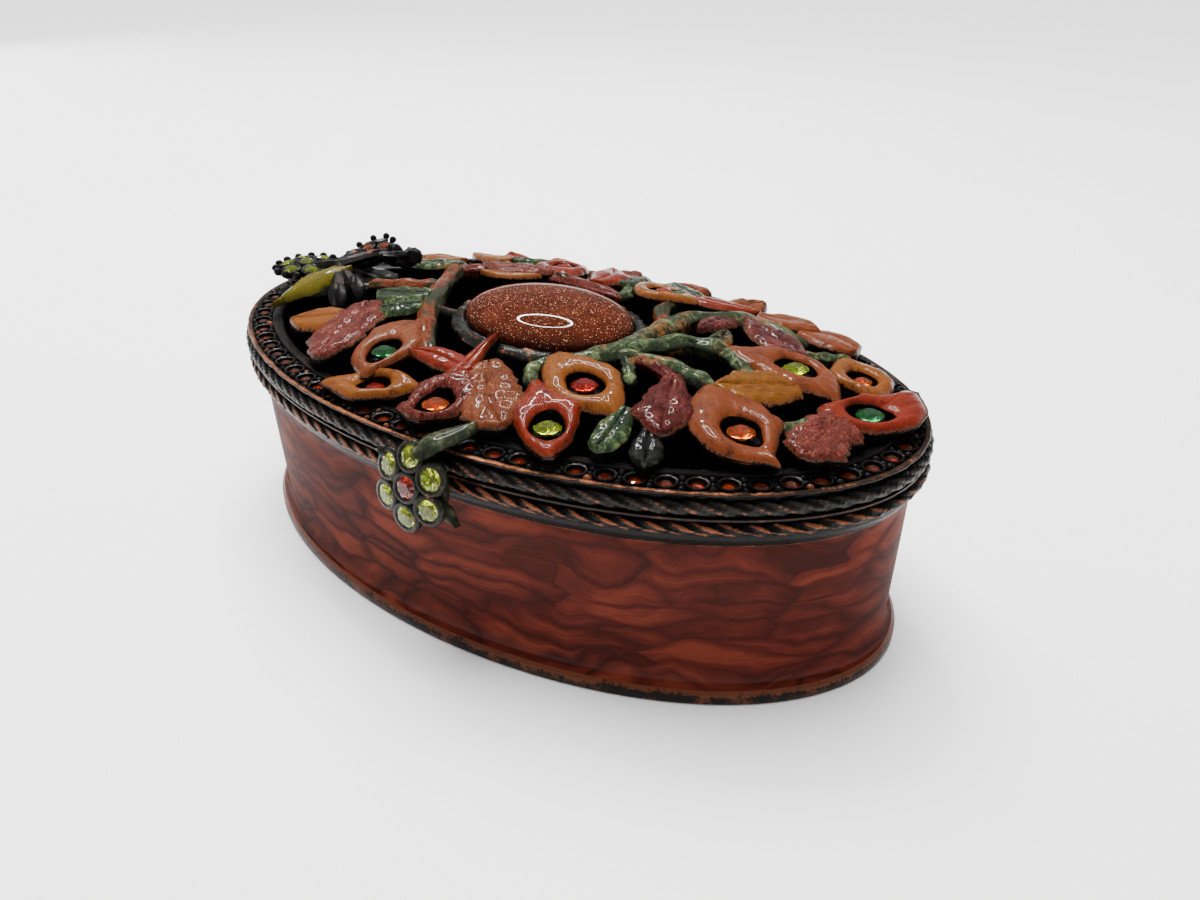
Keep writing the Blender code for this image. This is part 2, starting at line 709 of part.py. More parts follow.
def flower_body(name, frames, diameter, tilt, points, point_reach, point_rise, collection,
                material=None):
    """A domed plate, deep enough for the stones' cups, with points round its edge."""
    centre, normal = frames[0]
    pitch = flower_pitch(diameter, tilt)
    upward = normal.cross(Vector((1.0, 0.0, 0.0))).normalized()
    across = upward.cross(normal)
    reach = pitch + 0.5 * diameter
    edge = CUP_RIM - reach * math.sin(tilt) * 0.8
    floor = CUP_DEPTH + CUP_FLOOR + pitch * math.sin(tilt / 2)

    def ring(at_point, between, point_height, height):
        loop = []
        for k in range(2 * points):
            turn = math.pi * k / points
            direction = across * math.cos(turn) + upward * math.sin(turn)
            radius, rise = (at_point, point_height) if k % 2 == 0 else (between, height)
            loop.append(centre + direction * radius + normal * rise)
        return loop
    tip = reach + point_reach
    sections = [ring(0.5 * pitch, 0.5 * pitch, CUP_RIM, CUP_RIM),
                ring(tip, reach, edge + point_rise, edge),
                ring(tip, reach, edge + point_rise - CUP_FLOOR, edge - CUP_FLOOR),
                ring(0.8 * reach, 0.8 * reach, -floor, -floor)]
    return loft(name, sections, collection, material)


def cup_hollows(prefix, frames, diameter, collection):
    """Cutters of the cups, six-sided like the stones, with the gap round them."""
    radius = diameter / 2 + STONE_GAP / math.cos(math.pi / 6)
    for number, (place, normal) in enumerate(frames):
        profile = ((0.0, CUTTER_REACH / 2), (radius, CUTTER_REACH / 2), (radius, -CUP_DEPTH),
                   (0.0, -CUP_DEPTH))
        hollow = turned(f"{prefix}_hollow_{number}", profile, FLOWER_STONE_SIDES, collection)
        hide_cutter(upright(hollow, place, normal))


def set_stones(prefix, frames, diameter, parts, material):
    lift = max(0.0, STONE_BACK * diameter / 2 + STONE_GAP - CUP_DEPTH)
    for number, (place, normal) in enumerate(frames, start=1):
        stone(f"{prefix}_{number}", diameter, FLOWER_STONE_SIDES, place + normal * lift, normal,
              parts, material)


def front_flower(parts, forms, cutters, materials):
    """Seven set stones, hung over the front of the rim by a leaf that lies on the lid."""
    normal = Vector((0.0, -math.cos(FLOWER_TILT), math.sin(FLOWER_TILT)))
    centre = Vector((FLOWER_ALONG / 100 * HALF_LENGTH, -HALF_WIDTH - FLOWER_STANDOFF,
                     RIM_TOP - FLOWER_DROP))
    pitch = flower_pitch(FLOWER_STONE_DIAMETER, PETAL_TILT)
    frames = flower_frames(centre, normal, pitch, PETAL_TILT)
    body = flower_body("front_flower", frames, FLOWER_STONE_DIAMETER, PETAL_TILT, 6, SEPAL_REACH,
                       -SEPAL_REACH / 3, parts, materials["dark metal"])
    cup_hollows("front", frames, FLOWER_STONE_DIAMETER, cutters)
    flower_arm(frames, forms)
    boolean(body, "UNION", forms)
    boolean(body, "DIFFERENCE", cutters)
    simplify(body)
    set_stones("front_crystal", frames, FLOWER_STONE_DIAMETER, parts, materials["crystal"])


def flower_arm(frames, forms):
    """The leaf that carries the front flower: up from its plate and over the rim."""
    top = max(place.z for place, _direction in frames)
    deck = RIM_TOP + CHANNEL_HEADROOM + ARM_HEADROOM + ARM_THICKNESS
    x = FLOWER_ALONG / 100 * HALF_LENGTH
    line = (
        (Vector((x + 0.3 * ARM_WIDTH, -HALF_WIDTH - 0.8 * FLOWER_STANDOFF)), top + 0.0004),
        (Vector((x + 0.5 * ARM_WIDTH, -HALF_WIDTH - 0.3 * FLOWER_STANDOFF)), deck - 0.0003),
        (Vector((x + 0.8 * ARM_WIDTH, -HALF_WIDTH + 0.5 * CHANNEL_INNER)), deck),
        (Vector((x + 1.1 * ARM_WIDTH, -HALF_WIDTH + 1.1 * CHANNEL_INNER)), deck + 0.0004),
    )
    widths = (0.7, 0.95, 1.0, 0.3)
    sections = []
    for (middle, height), share in zip(line, widths):
        def face(_point, height=height):
            return height
        sections.append(strip_section(middle, Vector((-1.0, -0.35)).normalized(),
                                      share * ARM_WIDTH / 2, ARM_THICKNESS, face))
    hide_cutter(loft("front_arm", sections, forms))


def ball(name, place, diameter, stretch, heading, forms):
    """A bud: a small rounded body, stretched along its heading."""
    radius = diameter / 2
    angles = (55, 120)
    profile = [(0.0, stretch * radius)]
    profile += [(radius * math.sin(math.radians(angle)), stretch * radius * math.cos(math.radians(angle)))
                for angle in angles]
    profile.append((0.0, -stretch * radius))
    return hide_cutter(upright(turned(name, profile, BUD_SIDES, forms), place, heading))


def end_spray(parts, forms, cutters, materials):
    """Two crystal flowers, buds and a long petal on stems, cast as one, on the lid's left end."""
    up = Vector((0.0, 0.0, 1.0))
    large_pitch = flower_pitch(LARGE_STONE_DIAMETER, LARGE_TILT)
    small_pitch = flower_pitch(SMALL_STONE_DIAMETER, SMALL_TILT)
    x, y = plan(LARGE_FLOWER_PLACE)
    large_base = dome(x, y) + SPRAY_GAP + CUP_DEPTH + CUP_FLOOR
    large_centre = Vector((x, y, large_base + large_pitch * math.sin(LARGE_TILT / 2)))
    large = flower_frames(large_centre, up, large_pitch, LARGE_TILT)
    x, y = plan(SMALL_FLOWER_PLACE)
    small_centre = Vector((x, y, dome(x, y) + SMALL_FLOWER_RISE))
    small = flower_frames(small_centre, Vector((-0.15, -0.35, 1.0)).normalized(), small_pitch,
                          SMALL_TILT)
    body = flower_body("end_spray", large, LARGE_STONE_DIAMETER, LARGE_TILT, 10, PRONG_REACH,
                       PRONG_RISE, parts, materials["dark metal"])
    hide_cutter(flower_body("small_flower", small, SMALL_STONE_DIAMETER, SMALL_TILT, 6, PRONG_REACH,
                            PRONG_RISE, forms))
    cup_hollows("large", large, LARGE_STONE_DIAMETER, cutters)
    cup_hollows("small", small, SMALL_STONE_DIAMETER, cutters)
    spray_stems(large_centre, small_centre, forms)
    long_petal(forms)
    boolean(body, "UNION", forms)
    boolean(body, "DIFFERENCE", cutters)
    simplify(body)
    set_stones("large_crystal", large, LARGE_STONE_DIAMETER, parts, materials["crystal"])
    set_stones("small_crystal", small, SMALL_STONE_DIAMETER, parts, materials["crystal"])


def above_dome(place, rise):
    x, y = plan(place)
    return Vector((x, y, dome(x, y) + rise))


def spray_stems(large_centre, small_centre, forms):
    """Stems from the large flower to the small one and the buds, and the buds themselves."""
    low = SPRAY_STEM_DIAMETER / 2 + SPRAY_LIFT
    start = Vector((large_centre.x, large_centre.y, large_centre.z - CUP_DEPTH - 0.4 * CUP_FLOOR))
    fork = above_dome(SPRAY_FORK, low + 0.0004)
    side = Vector((0.0006, 0.0004, 0.0002))
    crest = above_dome((-68, 10), low + 0.0008)
    front_bud = above_dome((-61, -29), 0.0002)
    middle_bud = above_dome((-60, -19), 0.0002)
    back_lump = above_dome((-65.5, 17.5), low + 0.0004)
    far_lump = above_dome((-59, 17), low + 0.0002)
    stems = {
        "spray_stem": (start, fork, crest, back_lump),
        "lump_stem": (crest + side, far_lump),
        "small_flower_stem": (fork - side, (fork + small_centre) / 2,
                              small_centre - Vector((0, 0, CUP_DEPTH + 0.3 * CUP_FLOOR))),
        "front_bud_stem": (fork - 1.7 * side, front_bud),
        "middle_bud_stem": (fork + side, middle_bud),
    }
    for name, points in stems.items():
        hide_cutter(tube(name, points, SPRAY_STEM_DIAMETER, forms, roundness=0))
    hanging = Vector((0.7, -0.5, -0.5))
    ball("front_bud", front_bud, BUD_DIAMETER, 1.65, hanging, forms)
    ball("middle_bud", middle_bud, BUD_DIAMETER, 1.65, hanging, forms)
    ball("back_lump", back_lump, BUD_DIAMETER, 1.1, (0.2, 0.1, 1.0), forms)
    ball("far_lump", far_lump, BUD_DIAMETER, 1.3, (0.8, 0.5, 0.3), forms)


def long_petal(forms):
    """The long narrow petal that leans from the front rim up to the spray."""
    root = above_dome((-68, -8), 0.0026)
    tip = above_dome((-79, -45), 0.0)
    run = tip - root
    heading = Vector((run.x, run.y)).normalized()
    across = Vector((-heading.y, heading.x))
    sections = []
    for share in LEAF_STATIONS:
        middle = root + run * share
        bulge = math.sin(math.pi * (0.08 + 0.87 * share))

        flat = Vector((middle.x, middle.y))

        def face(point, flat=flat, height=middle.z + 0.0006 * bulge):
            return height - LONG_PETAL_SLANT * (point - flat).dot(across)
        sections.append(strip_section(flat, across, LONG_PETAL_WIDTH / 2 * bulge,
                                      LONG_PETAL_THICKNESS, face))
    hide_cutter(loft("long_petal", sections, forms))


def build_materials():
    return {
        "red enamel": new_material("red enamel", (0.24, 0.04, 0.025), 0.0, 0.18),
        "bronze enamel": new_material("bronze enamel", (0.33, 0.13, 0.06), 0.3, 0.35),
        "dark metal": new_material("dark metal", (0.04, 0.035, 0.03), 0.9, 0.45),
        "goldstone": new_material("goldstone", (0.3, 0.07, 0.035), 0.1, 0.1),
        "crystal": new_material("crystal", (0.55, 0.6, 0.05), 0.0, 0.02, 0.9),
        "rim crystal": new_material("rim crystal", (0.5, 0.2, 0.03), 0.2, 0.15, 0.4),
    }


def main():
    clear_scene()
    parts = new_collection(OBJECT_NAME)
    cutters = {name: new_collection(name) for name in
               ("lid forms", "lid rim", "lid headroom", "lid eyes", "front flower forms",
                "front flower hollows", "spray forms", "spray hollows")}
    materials = build_materials()
    box(parts, materials)
    lid(parts, cutters["lid forms"], cutters["lid rim"], cutters["lid eyes"],
        cutters["lid headroom"], materials)
    cabochon(parts, materials)
    rim_crystals(parts, materials)
    leaf_stones(parts, materials)
    front_flower(parts, cutters["front flower forms"], cutters["front flower hollows"], materials)
    end_spray(parts, cutters["spray forms"], cutters["spray hollows"], materials)


main()
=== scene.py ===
"""Looks of the oval enamelled trinket box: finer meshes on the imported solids, materials and light.

Metres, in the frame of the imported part. The layout of the lid repeats the
source's table, so each leaf and branch lies on the solid that carries it.
"""
import math
import random
from collections import namedtuple

import bmesh
import bpy
from mathutils import Matrix, Vector, noise


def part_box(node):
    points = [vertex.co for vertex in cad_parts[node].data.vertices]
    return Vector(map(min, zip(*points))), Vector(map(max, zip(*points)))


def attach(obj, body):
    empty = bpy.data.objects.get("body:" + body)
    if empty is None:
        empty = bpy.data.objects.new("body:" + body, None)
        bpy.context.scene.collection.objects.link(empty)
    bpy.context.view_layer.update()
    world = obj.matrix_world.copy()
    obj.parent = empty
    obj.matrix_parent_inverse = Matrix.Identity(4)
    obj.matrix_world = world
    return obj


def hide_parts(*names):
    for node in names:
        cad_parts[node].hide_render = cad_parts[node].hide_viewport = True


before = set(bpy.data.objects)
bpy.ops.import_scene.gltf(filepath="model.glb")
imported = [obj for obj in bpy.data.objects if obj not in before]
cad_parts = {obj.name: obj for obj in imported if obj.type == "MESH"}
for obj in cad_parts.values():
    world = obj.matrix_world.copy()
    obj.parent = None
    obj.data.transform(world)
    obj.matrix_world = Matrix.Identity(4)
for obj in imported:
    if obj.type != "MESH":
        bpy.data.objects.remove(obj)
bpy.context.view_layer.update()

# Sizes shared with the source
HALF_LENGTH = 0.0625
HALF_WIDTH = 0.0358
BOX_HEIGHT = 0.032
LID_BOTTOM = 0.0323
RIM_TOP = 0.0357
CHANNEL_OUTER = 0.0008
CHANNEL_INNER = 0.0042
OPENING_INSET = 0.006
CHANNEL_FLOOR = RIM_TOP - 0.0011
ROPE_OVERHANG = 0.0008
LID_ROPE = 0.0024
BOX_ROPE = 0.0021
EDGE_RISE = 0.002
CROWN_RISE = 0.0044
EYE_DEPTH = 0.0019
LEAF_DEPTH = 0.0026
EYE_MARGIN = 0.0006
BRANCH_SINK = 0.0006
LID_STRANDS = 104
BOX_STRANDS = 94
LID_TWIST = 2.6
BOX_TWIST = 1.9
RIM_STONES = 75
RIM_STONE_RADIUS = 0.00122
RIM_STONE_SINK = 0.00025
EYE_STRETCH = 1.3

# Stones: room round one, and the depth of its back as a share of its radius
STONE_GAP = 0.0003
STONE_BACK = 0.6
CABOCHON_HALVES = (0.015, 0.011)
CABOCHON_CUT = (0.01496, 0.01096)
COLLAR_FLOOR = RIM_TOP + 0.0047 - 0.0013
FRONT_STONE = 0.0037
LARGE_STONE = 0.003
SMALL_STONE = 0.0023
MILLIMETRES = 1000

# Studio
FLOOR_DROP = -0.0001
TABLE_REACH = 14.0
TABLE_GLOW = 2.6
TABLE_GLOW_REACH = 4.0
WORLD_GLOW = 0.45
BACKDROP_GLOW = 3.0
RING_LAMP_PLACE = (-0.22, 0.16, 0.50)
RING_LAMP_RADII = (0.104, 0.114)
LAMP_GLOW = 200.0
SOFT_LAMPS = (
    ("above", (-0.10, 0.10, 0.85), 0.60, 26.0),
    ("left", (-0.75, 0.05, 0.30), 0.50, 6.0),
    ("right", (0.70, -0.45, 0.35), 0.40, 3.0),
)

# Camera, as fitted to the photo
LENS = 28.5
SENSOR_WIDTH = 36.0
CAMERA_PLACE = (0.08895, -0.11482, 0.09944)
CAMERA_RIGHT = (0.8264, 0.563, -0.008)
CAMERA_AHEAD = (-0.4909, 0.7136, -0.4997)

MATERIALS = {}


# Meshes

def make(name, points, faces, materials, uvs=None, slots=None, wear=None, smooth=True, angle=None):
    """An object of points and faces, with a plane coordinate and a wear value at each point; on the ropes and
    the rim the wear value also carries painted sheen at the front.
    """
    mesh = bpy.data.meshes.new(name)
    mesh.from_pydata([tuple(p) for p in points], [], faces)
    for material in materials:
        mesh.materials.append(MATERIALS[material])
    if uvs is not None:
        layer = mesh.uv_layers.new(name="UVMap")
        for loop in mesh.loops:
            layer.data[loop.index].uv = uvs[loop.vertex_index]
    attribute = mesh.attributes.new("wear", "FLOAT", "POINT")
    if wear is not None:
        attribute.data.foreach_set("value", wear)
    if slots is not None:
        mesh.polygons.foreach_set("material_index", slots)
    item = bpy.data.objects.new(name, mesh)
    bpy.context.scene.collection.objects.link(item)
    bm = bmesh.new()
    bm.from_mesh(mesh)
    bmesh.ops.remove_doubles(bm, verts=bm.verts, dist=1e-7)
    bmesh.ops.recalc_face_normals(bm, faces=bm.faces)
    bm.to_mesh(mesh)
    bm.free()
    if smooth:
        mesh.shade_smooth()
        if angle:
            mesh.set_sharp_from_angle(angle=math.radians(angle))
    else:
        mesh.shade_flat()
    return item


def grid_faces(rows, columns, close_rows=False, close_columns=True):
    """Faces of a grid of points in rows, closed round its columns and its rows if asked."""
    faces = []
    for r in range(rows if close_rows else rows - 1):
        row = r * columns
        next_row = ((r + 1) % rows) * columns
        for c in range(columns if close_columns else columns - 1):
            after = (c + 1) % columns
            faces.append((row + c, row + after, next_row + after, next_row + c))
    return faces


def capped_faces(rows, columns):
    """Faces of a tube of points in rows, with a face over each end."""
    ends = [tuple(range(columns)), tuple(range((rows - 1) * columns, rows * columns))]
    return grid_faces(rows, columns) + ends


def ring_faces(rows, columns):
    """Faces of an open section carried round a ring, with a face over each side."""
    sides = [tuple(k * columns + edge for k in range(rows)) for edge in (0, columns - 1)]
    return grid_faces(rows, columns, close_rows=True, close_columns=False) + sides


class Batch:
    """Points and faces of many small bodies, made into one object."""

    def __init__(self):
        self.points = []
        self.faces = []
        self.wear = []

    def add(self, points, faces, wear=0.0):
        start = len(self.points)
        self.points += points
        self.faces += [tuple(start + k for k in face) for face in faces]
        self.wear += wear if isinstance(wear, list) else [wear] * len(points)

    def make(self, name, material, smooth=True, angle=None):
        return make(name, self.points, self.faces, [material], wear=self.wear, smooth=smooth,
                    angle=angle)


def axes_at(place, normal, turn=0.0):
    """Matrix that stands local Z along a normal, with local X turned about it."""
    normal = Vector(normal).normalized()
    across = Vector((1.0, 0.0, 0.0))
    across = (across - normal * across.dot(normal)).normalized()
    basis = Matrix((across, normal.cross(across), normal)).transposed().to_4x4()
    return Matrix.Translation(place) @ basis @ Matrix.Rotation(turn, 4, "Z")


def turned_points(profile, sides, matrix):
    """A profile of (radius, height) turned about local Z: points and faces, closed at both ends."""
    points = []
    for radius, height in profile:
        for k in range(sides):
            turn = math.tau * k / sides
            points.append(matrix @ Vector((radius * math.cos(turn), radius * math.sin(turn), height)))
    return points, capped_faces(len(profile), sides)


def turned_ring(profile, sides, matrix):
    """A closed section of (radius, height) turned about local Z: points and faces."""
    points, faces = turned_points(profile, sides, matrix)
    last = (len(profile) - 1) * sides
    closing = [(last + k, last + (k + 1) % sides, (k + 1) % sides, k) for k in range(sides)]
    return points, faces[:-2] + closing


def scaled(profile, size):
    return [(size * radius, size * height) for radius, height in profile]


def brilliant(radius, matrix, sides):
    """A cut stone: table, two rows of crown facets, two of pavilion facets, and a point."""
    points = []
    for k in range(sides):
        turn = math.tau * k / sides
        points.append(Vector((0.52 * math.cos(turn), 0.52 * math.sin(turn), 0.34)))
    for k in range(sides):
        turn = math.tau * (k + 0.5) / sides
        points.append(Vector((0.80 * math.cos(turn), 0.80 * math.sin(turn), 0.2)))
    for k in range(2 * sides):
        turn = math.tau * k / (2 * sides)
        points.append(Vector((math.cos(turn), math.sin(turn), 0.0)))
    for k in range(sides):
        turn = math.tau * (k + 0.5) / sides
        points.append(Vector((0.5 * math.cos(turn), 0.5 * math.sin(turn), -0.36)))
    points.append(Vector((0.0, 0.0, -0.6)))
    faces = [tuple(range(sides))]
    for k in range(sides):
        n = (k + 1) % sides
        table, table_next = k, n
        star = sides + k
        star_before = sides + (k - 1) % sides
        girdle = 2 * sides + 2 * k
        girdle_mid = girdle + 1
        girdle_next = 2 * sides + (2 * k + 2) % (2 * sides)
        low = 4 * sides + k
        low_before = 4 * sides + (k - 1) % sides
        faces.append((table, table_next, star))
        faces.append((table, star, girdle, star_before))
        faces.append((star, girdle_mid, girdle))
        faces.append((star, girdle_next, girdle_mid))
        faces.append((low, girdle, girdle_mid))
        faces.append((low, girdle_mid, girdle_next))
        faces.append((girdle, low, 5 * sides, low_before))
    return [matrix @ (p * radius) for p in points], faces


def sphere_points(radius, matrix, rings, sides):
    """A small ball with blunt poles: points and faces."""
    polars = [math.pi * (k + 0.35) / (rings - 0.3) for k in range(rings)]
    profile = [(radius * math.sin(polar), radius * math.cos(polar)) for polar in polars]
    return turned_points(profile, sides, matrix)


def smooth_line(knots, count):
    """Points along a smooth line through knots."""
    knots = [Vector(k) for k in knots]
    padded = [2 * knots[0] - knots[1], *knots, 2 * knots[-1] - knots[-2]]
    out = []
    for k in range(count):
        place = (len(knots) - 1) * k / (count - 1)
        span = min(int(place), len(knots) - 2)
        t = place - span
        a, b, c, d = padded[span:span + 4]
        out.append(0.5 * (2 * b + (c - a) * t + (2 * a - 5 * b + 4 * c - d) * t * t
                          + (3 * b - 3 * c + d - a) * t ** 3))
    return out


def level(values, place):
    """A value between equally spaced ones."""
    place = place * (len(values) - 1)
    k = min(int(place), len(values) - 2)
    t = place - k
    t = t * t * (3 - 2 * t)
    return values[k] * (1 - t) + values[k + 1] * t


def sweep(batch, line, radii, sides, flat=1.0, rough=0.0, ridges=0.0, seed=0.0):
    """A rough round-ended tube along a line, added to a batch."""
    count = len(line)
    points = []
    wear = []
    for k, middle in enumerate(line):
        ahead = (line[min(k + 1, count - 1)] - line[max(k - 1, 0)]).normalized()
        side = ahead.cross(Vector((0, 0, 1))).normalized()
        up = side.cross(ahead)
        share = k / (count - 1)
        end = min(1.0, math.sqrt(max(0.0, min(share, 1 - share) * count / 2.2 + 0.04)))
        for c in range(sides):
            turn = math.tau * c / sides
            direction = side * math.cos(turn) + up * math.sin(turn) * flat
            lump = noise.noise(Vector((middle.x, middle.y, turn * 0.0012)) * 300 + Vector((seed, 0, 0)))
            ridge = math.sin(turn * 6 + 4 * noise.noise(middle * 200)) * ridges
            radius = level(radii, share) * end + rough * lump + ridge
            points.append(middle + direction * max(radius, 0.00008))
            wear.append(max(0.0, math.sin(turn)) * 0.6 + 0.4 * lump + 0.2)
    batch.add(points, capped_faces(count, sides), wear)


def map_plane(item, first, second):
    """Plane coordinates in millimetres, from two of the object's own axes."""
    layer = item.data.uv_layers.new(name="UVMap")
    for loop in item.data.loops:
        co = item.data.vertices[loop.vertex_index].co
        layer.data[loop.index].uv = (co[first] * MILLIMETRES, co[second] * MILLIMETRES)


# The oval and the dome

def oval_direction(angle):
    return Vector((math.cos(angle) / HALF_LENGTH, math.sin(angle) / HALF_WIDTH)).normalized()


def oval_point(inset, angle, height):
    outward = oval_direction(angle)
    return Vector((HALF_LENGTH * math.cos(angle) - inset * outward.x,
                   HALF_WIDTH * math.sin(angle) - inset * outward.y, height))


def equal_angles(count, inset=0.0, samples=4000):
    """Angles of points spaced equally along an inset oval."""
    lengths = [0.0]
    before = oval_point(inset, 0.0, 0.0)
    for k in range(1, samples + 1):
        here = oval_point(inset, math.tau * k / samples, 0.0)
        lengths.append(lengths[-1] + (here - before).length)
        before = here
    angles = []
    k = 0
    for number in range(count):
        wanted = lengths[-1] * number / count
        while lengths[k + 1] < wanted:
            k += 1
        part = (wanted - lengths[k]) / (lengths[k + 1] - lengths[k])
        angles.append(math.tau * (k + part) / samples)
    return angles


def rim_ring(name, profile, materials, stations, slots=None, wear=None, rough=0.0):
    """A ring of one section all round the oval, closed through its section too."""
    points = []
    wear_and_front_sheen = []
    for turn in equal_angles(stations):
        for number, (inset, height) in enumerate(profile):
            point = oval_point(inset, turn, height)
            if rough:
                shift = noise.noise(point * 900) * rough
                point = oval_point(inset + shift, turn, height + shift * 0.5)
            points.append(point)
            # Painted sheen: the wear is scaled up at the front of the oval and down at the back, so the
            # copper lip and the paler base shine most at the front; the rest is real wear
            wear_and_front_sheen.append(wear[number] * (0.75 - 0.35 * math.sin(turn)) if wear else 0.0)
    faces = grid_faces(stations, len(profile), close_rows=True)
    return make(name, points, faces, materials, None, slots and slots * stations, wear_and_front_sheen, angle=40)


def plan(place):
    return place[0] / 100 * HALF_LENGTH, place[1] / 100 * HALF_WIDTH


def dome(x, y):
    share = (x / (HALF_LENGTH - OPENING_INSET)) ** 2 + (y / (HALF_WIDTH - OPENING_INSET)) ** 2
    return RIM_TOP + EDGE_RISE + CROWN_RISE * max(0.0, 1.0 - share)


def above_dome(place, rise):
    """Point at a height over the dome, from a place in hundredths of the rim's halves."""
    x, y = plan(place)
    return Vector((x, y, dome(x, y) + rise))


# Materials

def plug(tree, value, socket):
    """Give an input a link, a colour or a plain value."""
    if isinstance(value, bpy.types.NodeSocket):
        tree.links.new(value, socket)
    elif isinstance(value, tuple) and socket.type == "RGBA":
        socket.default_value = (*value, 1.0)
    else:
        socket.default_value = value


def enter(tree, kind, settings=None, **inputs):
    """A shader node with its settings and inputs; an input may be a socket or a value."""
    item = tree.nodes.new(kind)
    for key, value in (settings or {}).items():
        setattr(item, key, value)
    for key, value in inputs.items():
        socket = item.inputs[int(key[1:])] if key[0] == "i" and key[1:].isdigit() \
            else item.inputs[key.replace("_", " ")]
        plug(tree, value, socket)
    return item


def blank(name):
    """A new material's node tree and its shader."""
    material = bpy.data.materials.new(name)
    material.use_nodes = True
    tree = material.node_tree
    tree.nodes.clear()
    output = tree.nodes.new("ShaderNodeOutputMaterial")
    shader = tree.nodes.new("ShaderNodeBsdfPrincipled")
    tree.links.new(shader.outputs[0], output.inputs[0])
    MATERIALS[name] = material
    return tree, shader


def position(tree, scale=(1.0, 1.0, 1.0), from_uv=False):
    """Coordinates in millimetres, from the object's own space or the plane coordinate, scaled."""
    source = tree.nodes.new("ShaderNodeTexCoord")
    factor = 1.0 if from_uv else MILLIMETRES
    mapping = enter(tree, "ShaderNodeMapping", Vector=source.outputs["UV" if from_uv else "Object"])
    mapping.inputs["Scale"].default_value = tuple(factor * s for s in scale)
    return mapping.outputs[0]


def speckle(tree, vector, scale, detail=3.0, rough=0.6, warp=0.0):
    item = enter(tree, "ShaderNodeTexNoise", Vector=vector, Scale=scale, Detail=detail,
                 Roughness=rough, Distortion=warp)
    return item.outputs[0]


def ramp(tree, value, stops):
    """A colour ramp; each stop is a place and a colour or a grey."""
    item = enter(tree, "ShaderNodeValToRGB", Fac=value)
    elements = item.color_ramp.elements
    while len(elements) < len(stops):
        elements.new(0.5)
    for element, (place, colour) in zip(elements, stops):
        element.position = place
        grey = isinstance(colour, (int, float))
        element.color = (colour,) * 3 + (1.0,) if grey else (*colour, 1.0)
    return item.outputs[0]


def mixed(tree, factor, first, second):
    item = tree.nodes.new("ShaderNodeMix")
    item.data_type = "RGBA"
    for socket, value in ((item.inputs[0], factor), (item.inputs[6], first), (item.inputs[7], second)):
        plug(tree, value, socket)
    return item.outputs[2]


def maths(tree, operation, first, second=0.5, clamp=False):
    item = tree.nodes.new("ShaderNodeMath")
    item.operation = operation
    item.use_clamp = clamp
    for socket, value in ((item.inputs[0], first), (item.inputs[1], second)):
        plug(tree, value, socket)
    return item.outputs[0]


def weighted(tree, *terms):
    """Sum of values, each times its weight."""
    total = maths(tree, "MULTIPLY", *terms[-1])
    for value, weight in reversed(terms[:-1]):
        total = maths(tree, "ADD", maths(tree, "MULTIPLY", value, weight), total)
    return total


def centred(tree, value):
    return maths(tree, "SUBTRACT", value, 0.5)


def step(tree, value, low, high):
    """A soft step from 0 at the low value to 1 at the high one."""
    return ramp(tree, value, ((low, 0.0), (high, 1.0)))


def tinted(colour, share):
    return tuple(share * c for c in colour)


def paint(tree, shader, colour):
    tree.links.new(colour, shader.inputs["Base Color"])


def bump(tree, shader, height, strength, distance):
    item = enter(tree, "ShaderNodeBump", Height=height, Strength=strength, Distance=distance)
    tree.links.new(item.outputs[0], shader.inputs["Normal"])


def cell_pattern(tree, vector, scale, randomness=1.0, feature="F1"):
    return enter(tree, "ShaderNodeTexVoronoi", {"feature": feature}, Vector=vector, Scale=scale,
                 Randomness=randomness)


def own_value(tree, cells):
    """A value that each cell of a pattern has to itself."""
    return enter(tree, "ShaderNodeSeparateColor", Color=cells.outputs["Color"]).outputs[0]


def wear_and_sheen_value(tree):
    return enter(tree, "ShaderNodeAttribute", {"attribute_name": "wear"}).outputs["Fac"]


# Colours of the worn metal
COPPER = (0.15, 0.047, 0.020)
BLACK = (0.0022, 0.0019, 0.0018)
WORN_EDGE = (0.085, 0.030, 0.014)


def gloss(shader, roughness, coat, specular=0.12, coat_roughness=0.03):
    """How much a surface mirrors the studio: little at the base, more in its thin clear coat."""
    shader.inputs["Roughness"].default_value = roughness
    shader.inputs["Specular IOR Level"].default_value = specular
    shader.inputs["Coat Weight"].default_value = coat
    shader.inputs["Coat Roughness"].default_value = coat_roughness


def worn_metal(name, low=0.52, high=0.72, copper=COPPER, dark=BLACK, grain=1.6, shine=0.42, tint=None):
    """Blackened metal, worn to copper where the wear value and the grain are high. On the ropes and the rim
    the wear value is also raised at the front of the oval and on the strand crests, so there the copper and
    the paler base are partly painted sheen.
    """
    tree, shader = blank(name)
    place = position(tree)
    fine = speckle(tree, place, grain, 4.0, 0.65)
    broad = speckle(tree, place, 0.35, 2.0, 0.5)
    wear = wear_and_sheen_value(tree)
    # Copper where worn; where the wear value carries painted sheen, this copper is partly a painted glint
    worn = weighted(tree, (wear, 0.6), (fine, 0.55), (centred(tree, broad), 0.5))
    # Paler base where a broad noise and the wear value are high: random tone, and painted sheen where the
    # wear value carries it
    tone_and_painted_sheen = step(tree, weighted(tree, (broad, 0.6), (wear, 0.35)), 0.35, 0.75)
    base = mixed(tree, tone_and_painted_sheen, dark, tint or tinted(dark, 2.5))
    paint(tree, shader, mixed(tree, step(tree, worn, low, high), base, copper))
    shader.inputs["Metallic"].default_value = 0.35
    gloss(shader, shine, 0.10, 0.10, 0.18)
    bump(tree, shader, fine, 0.6, 0.00014)


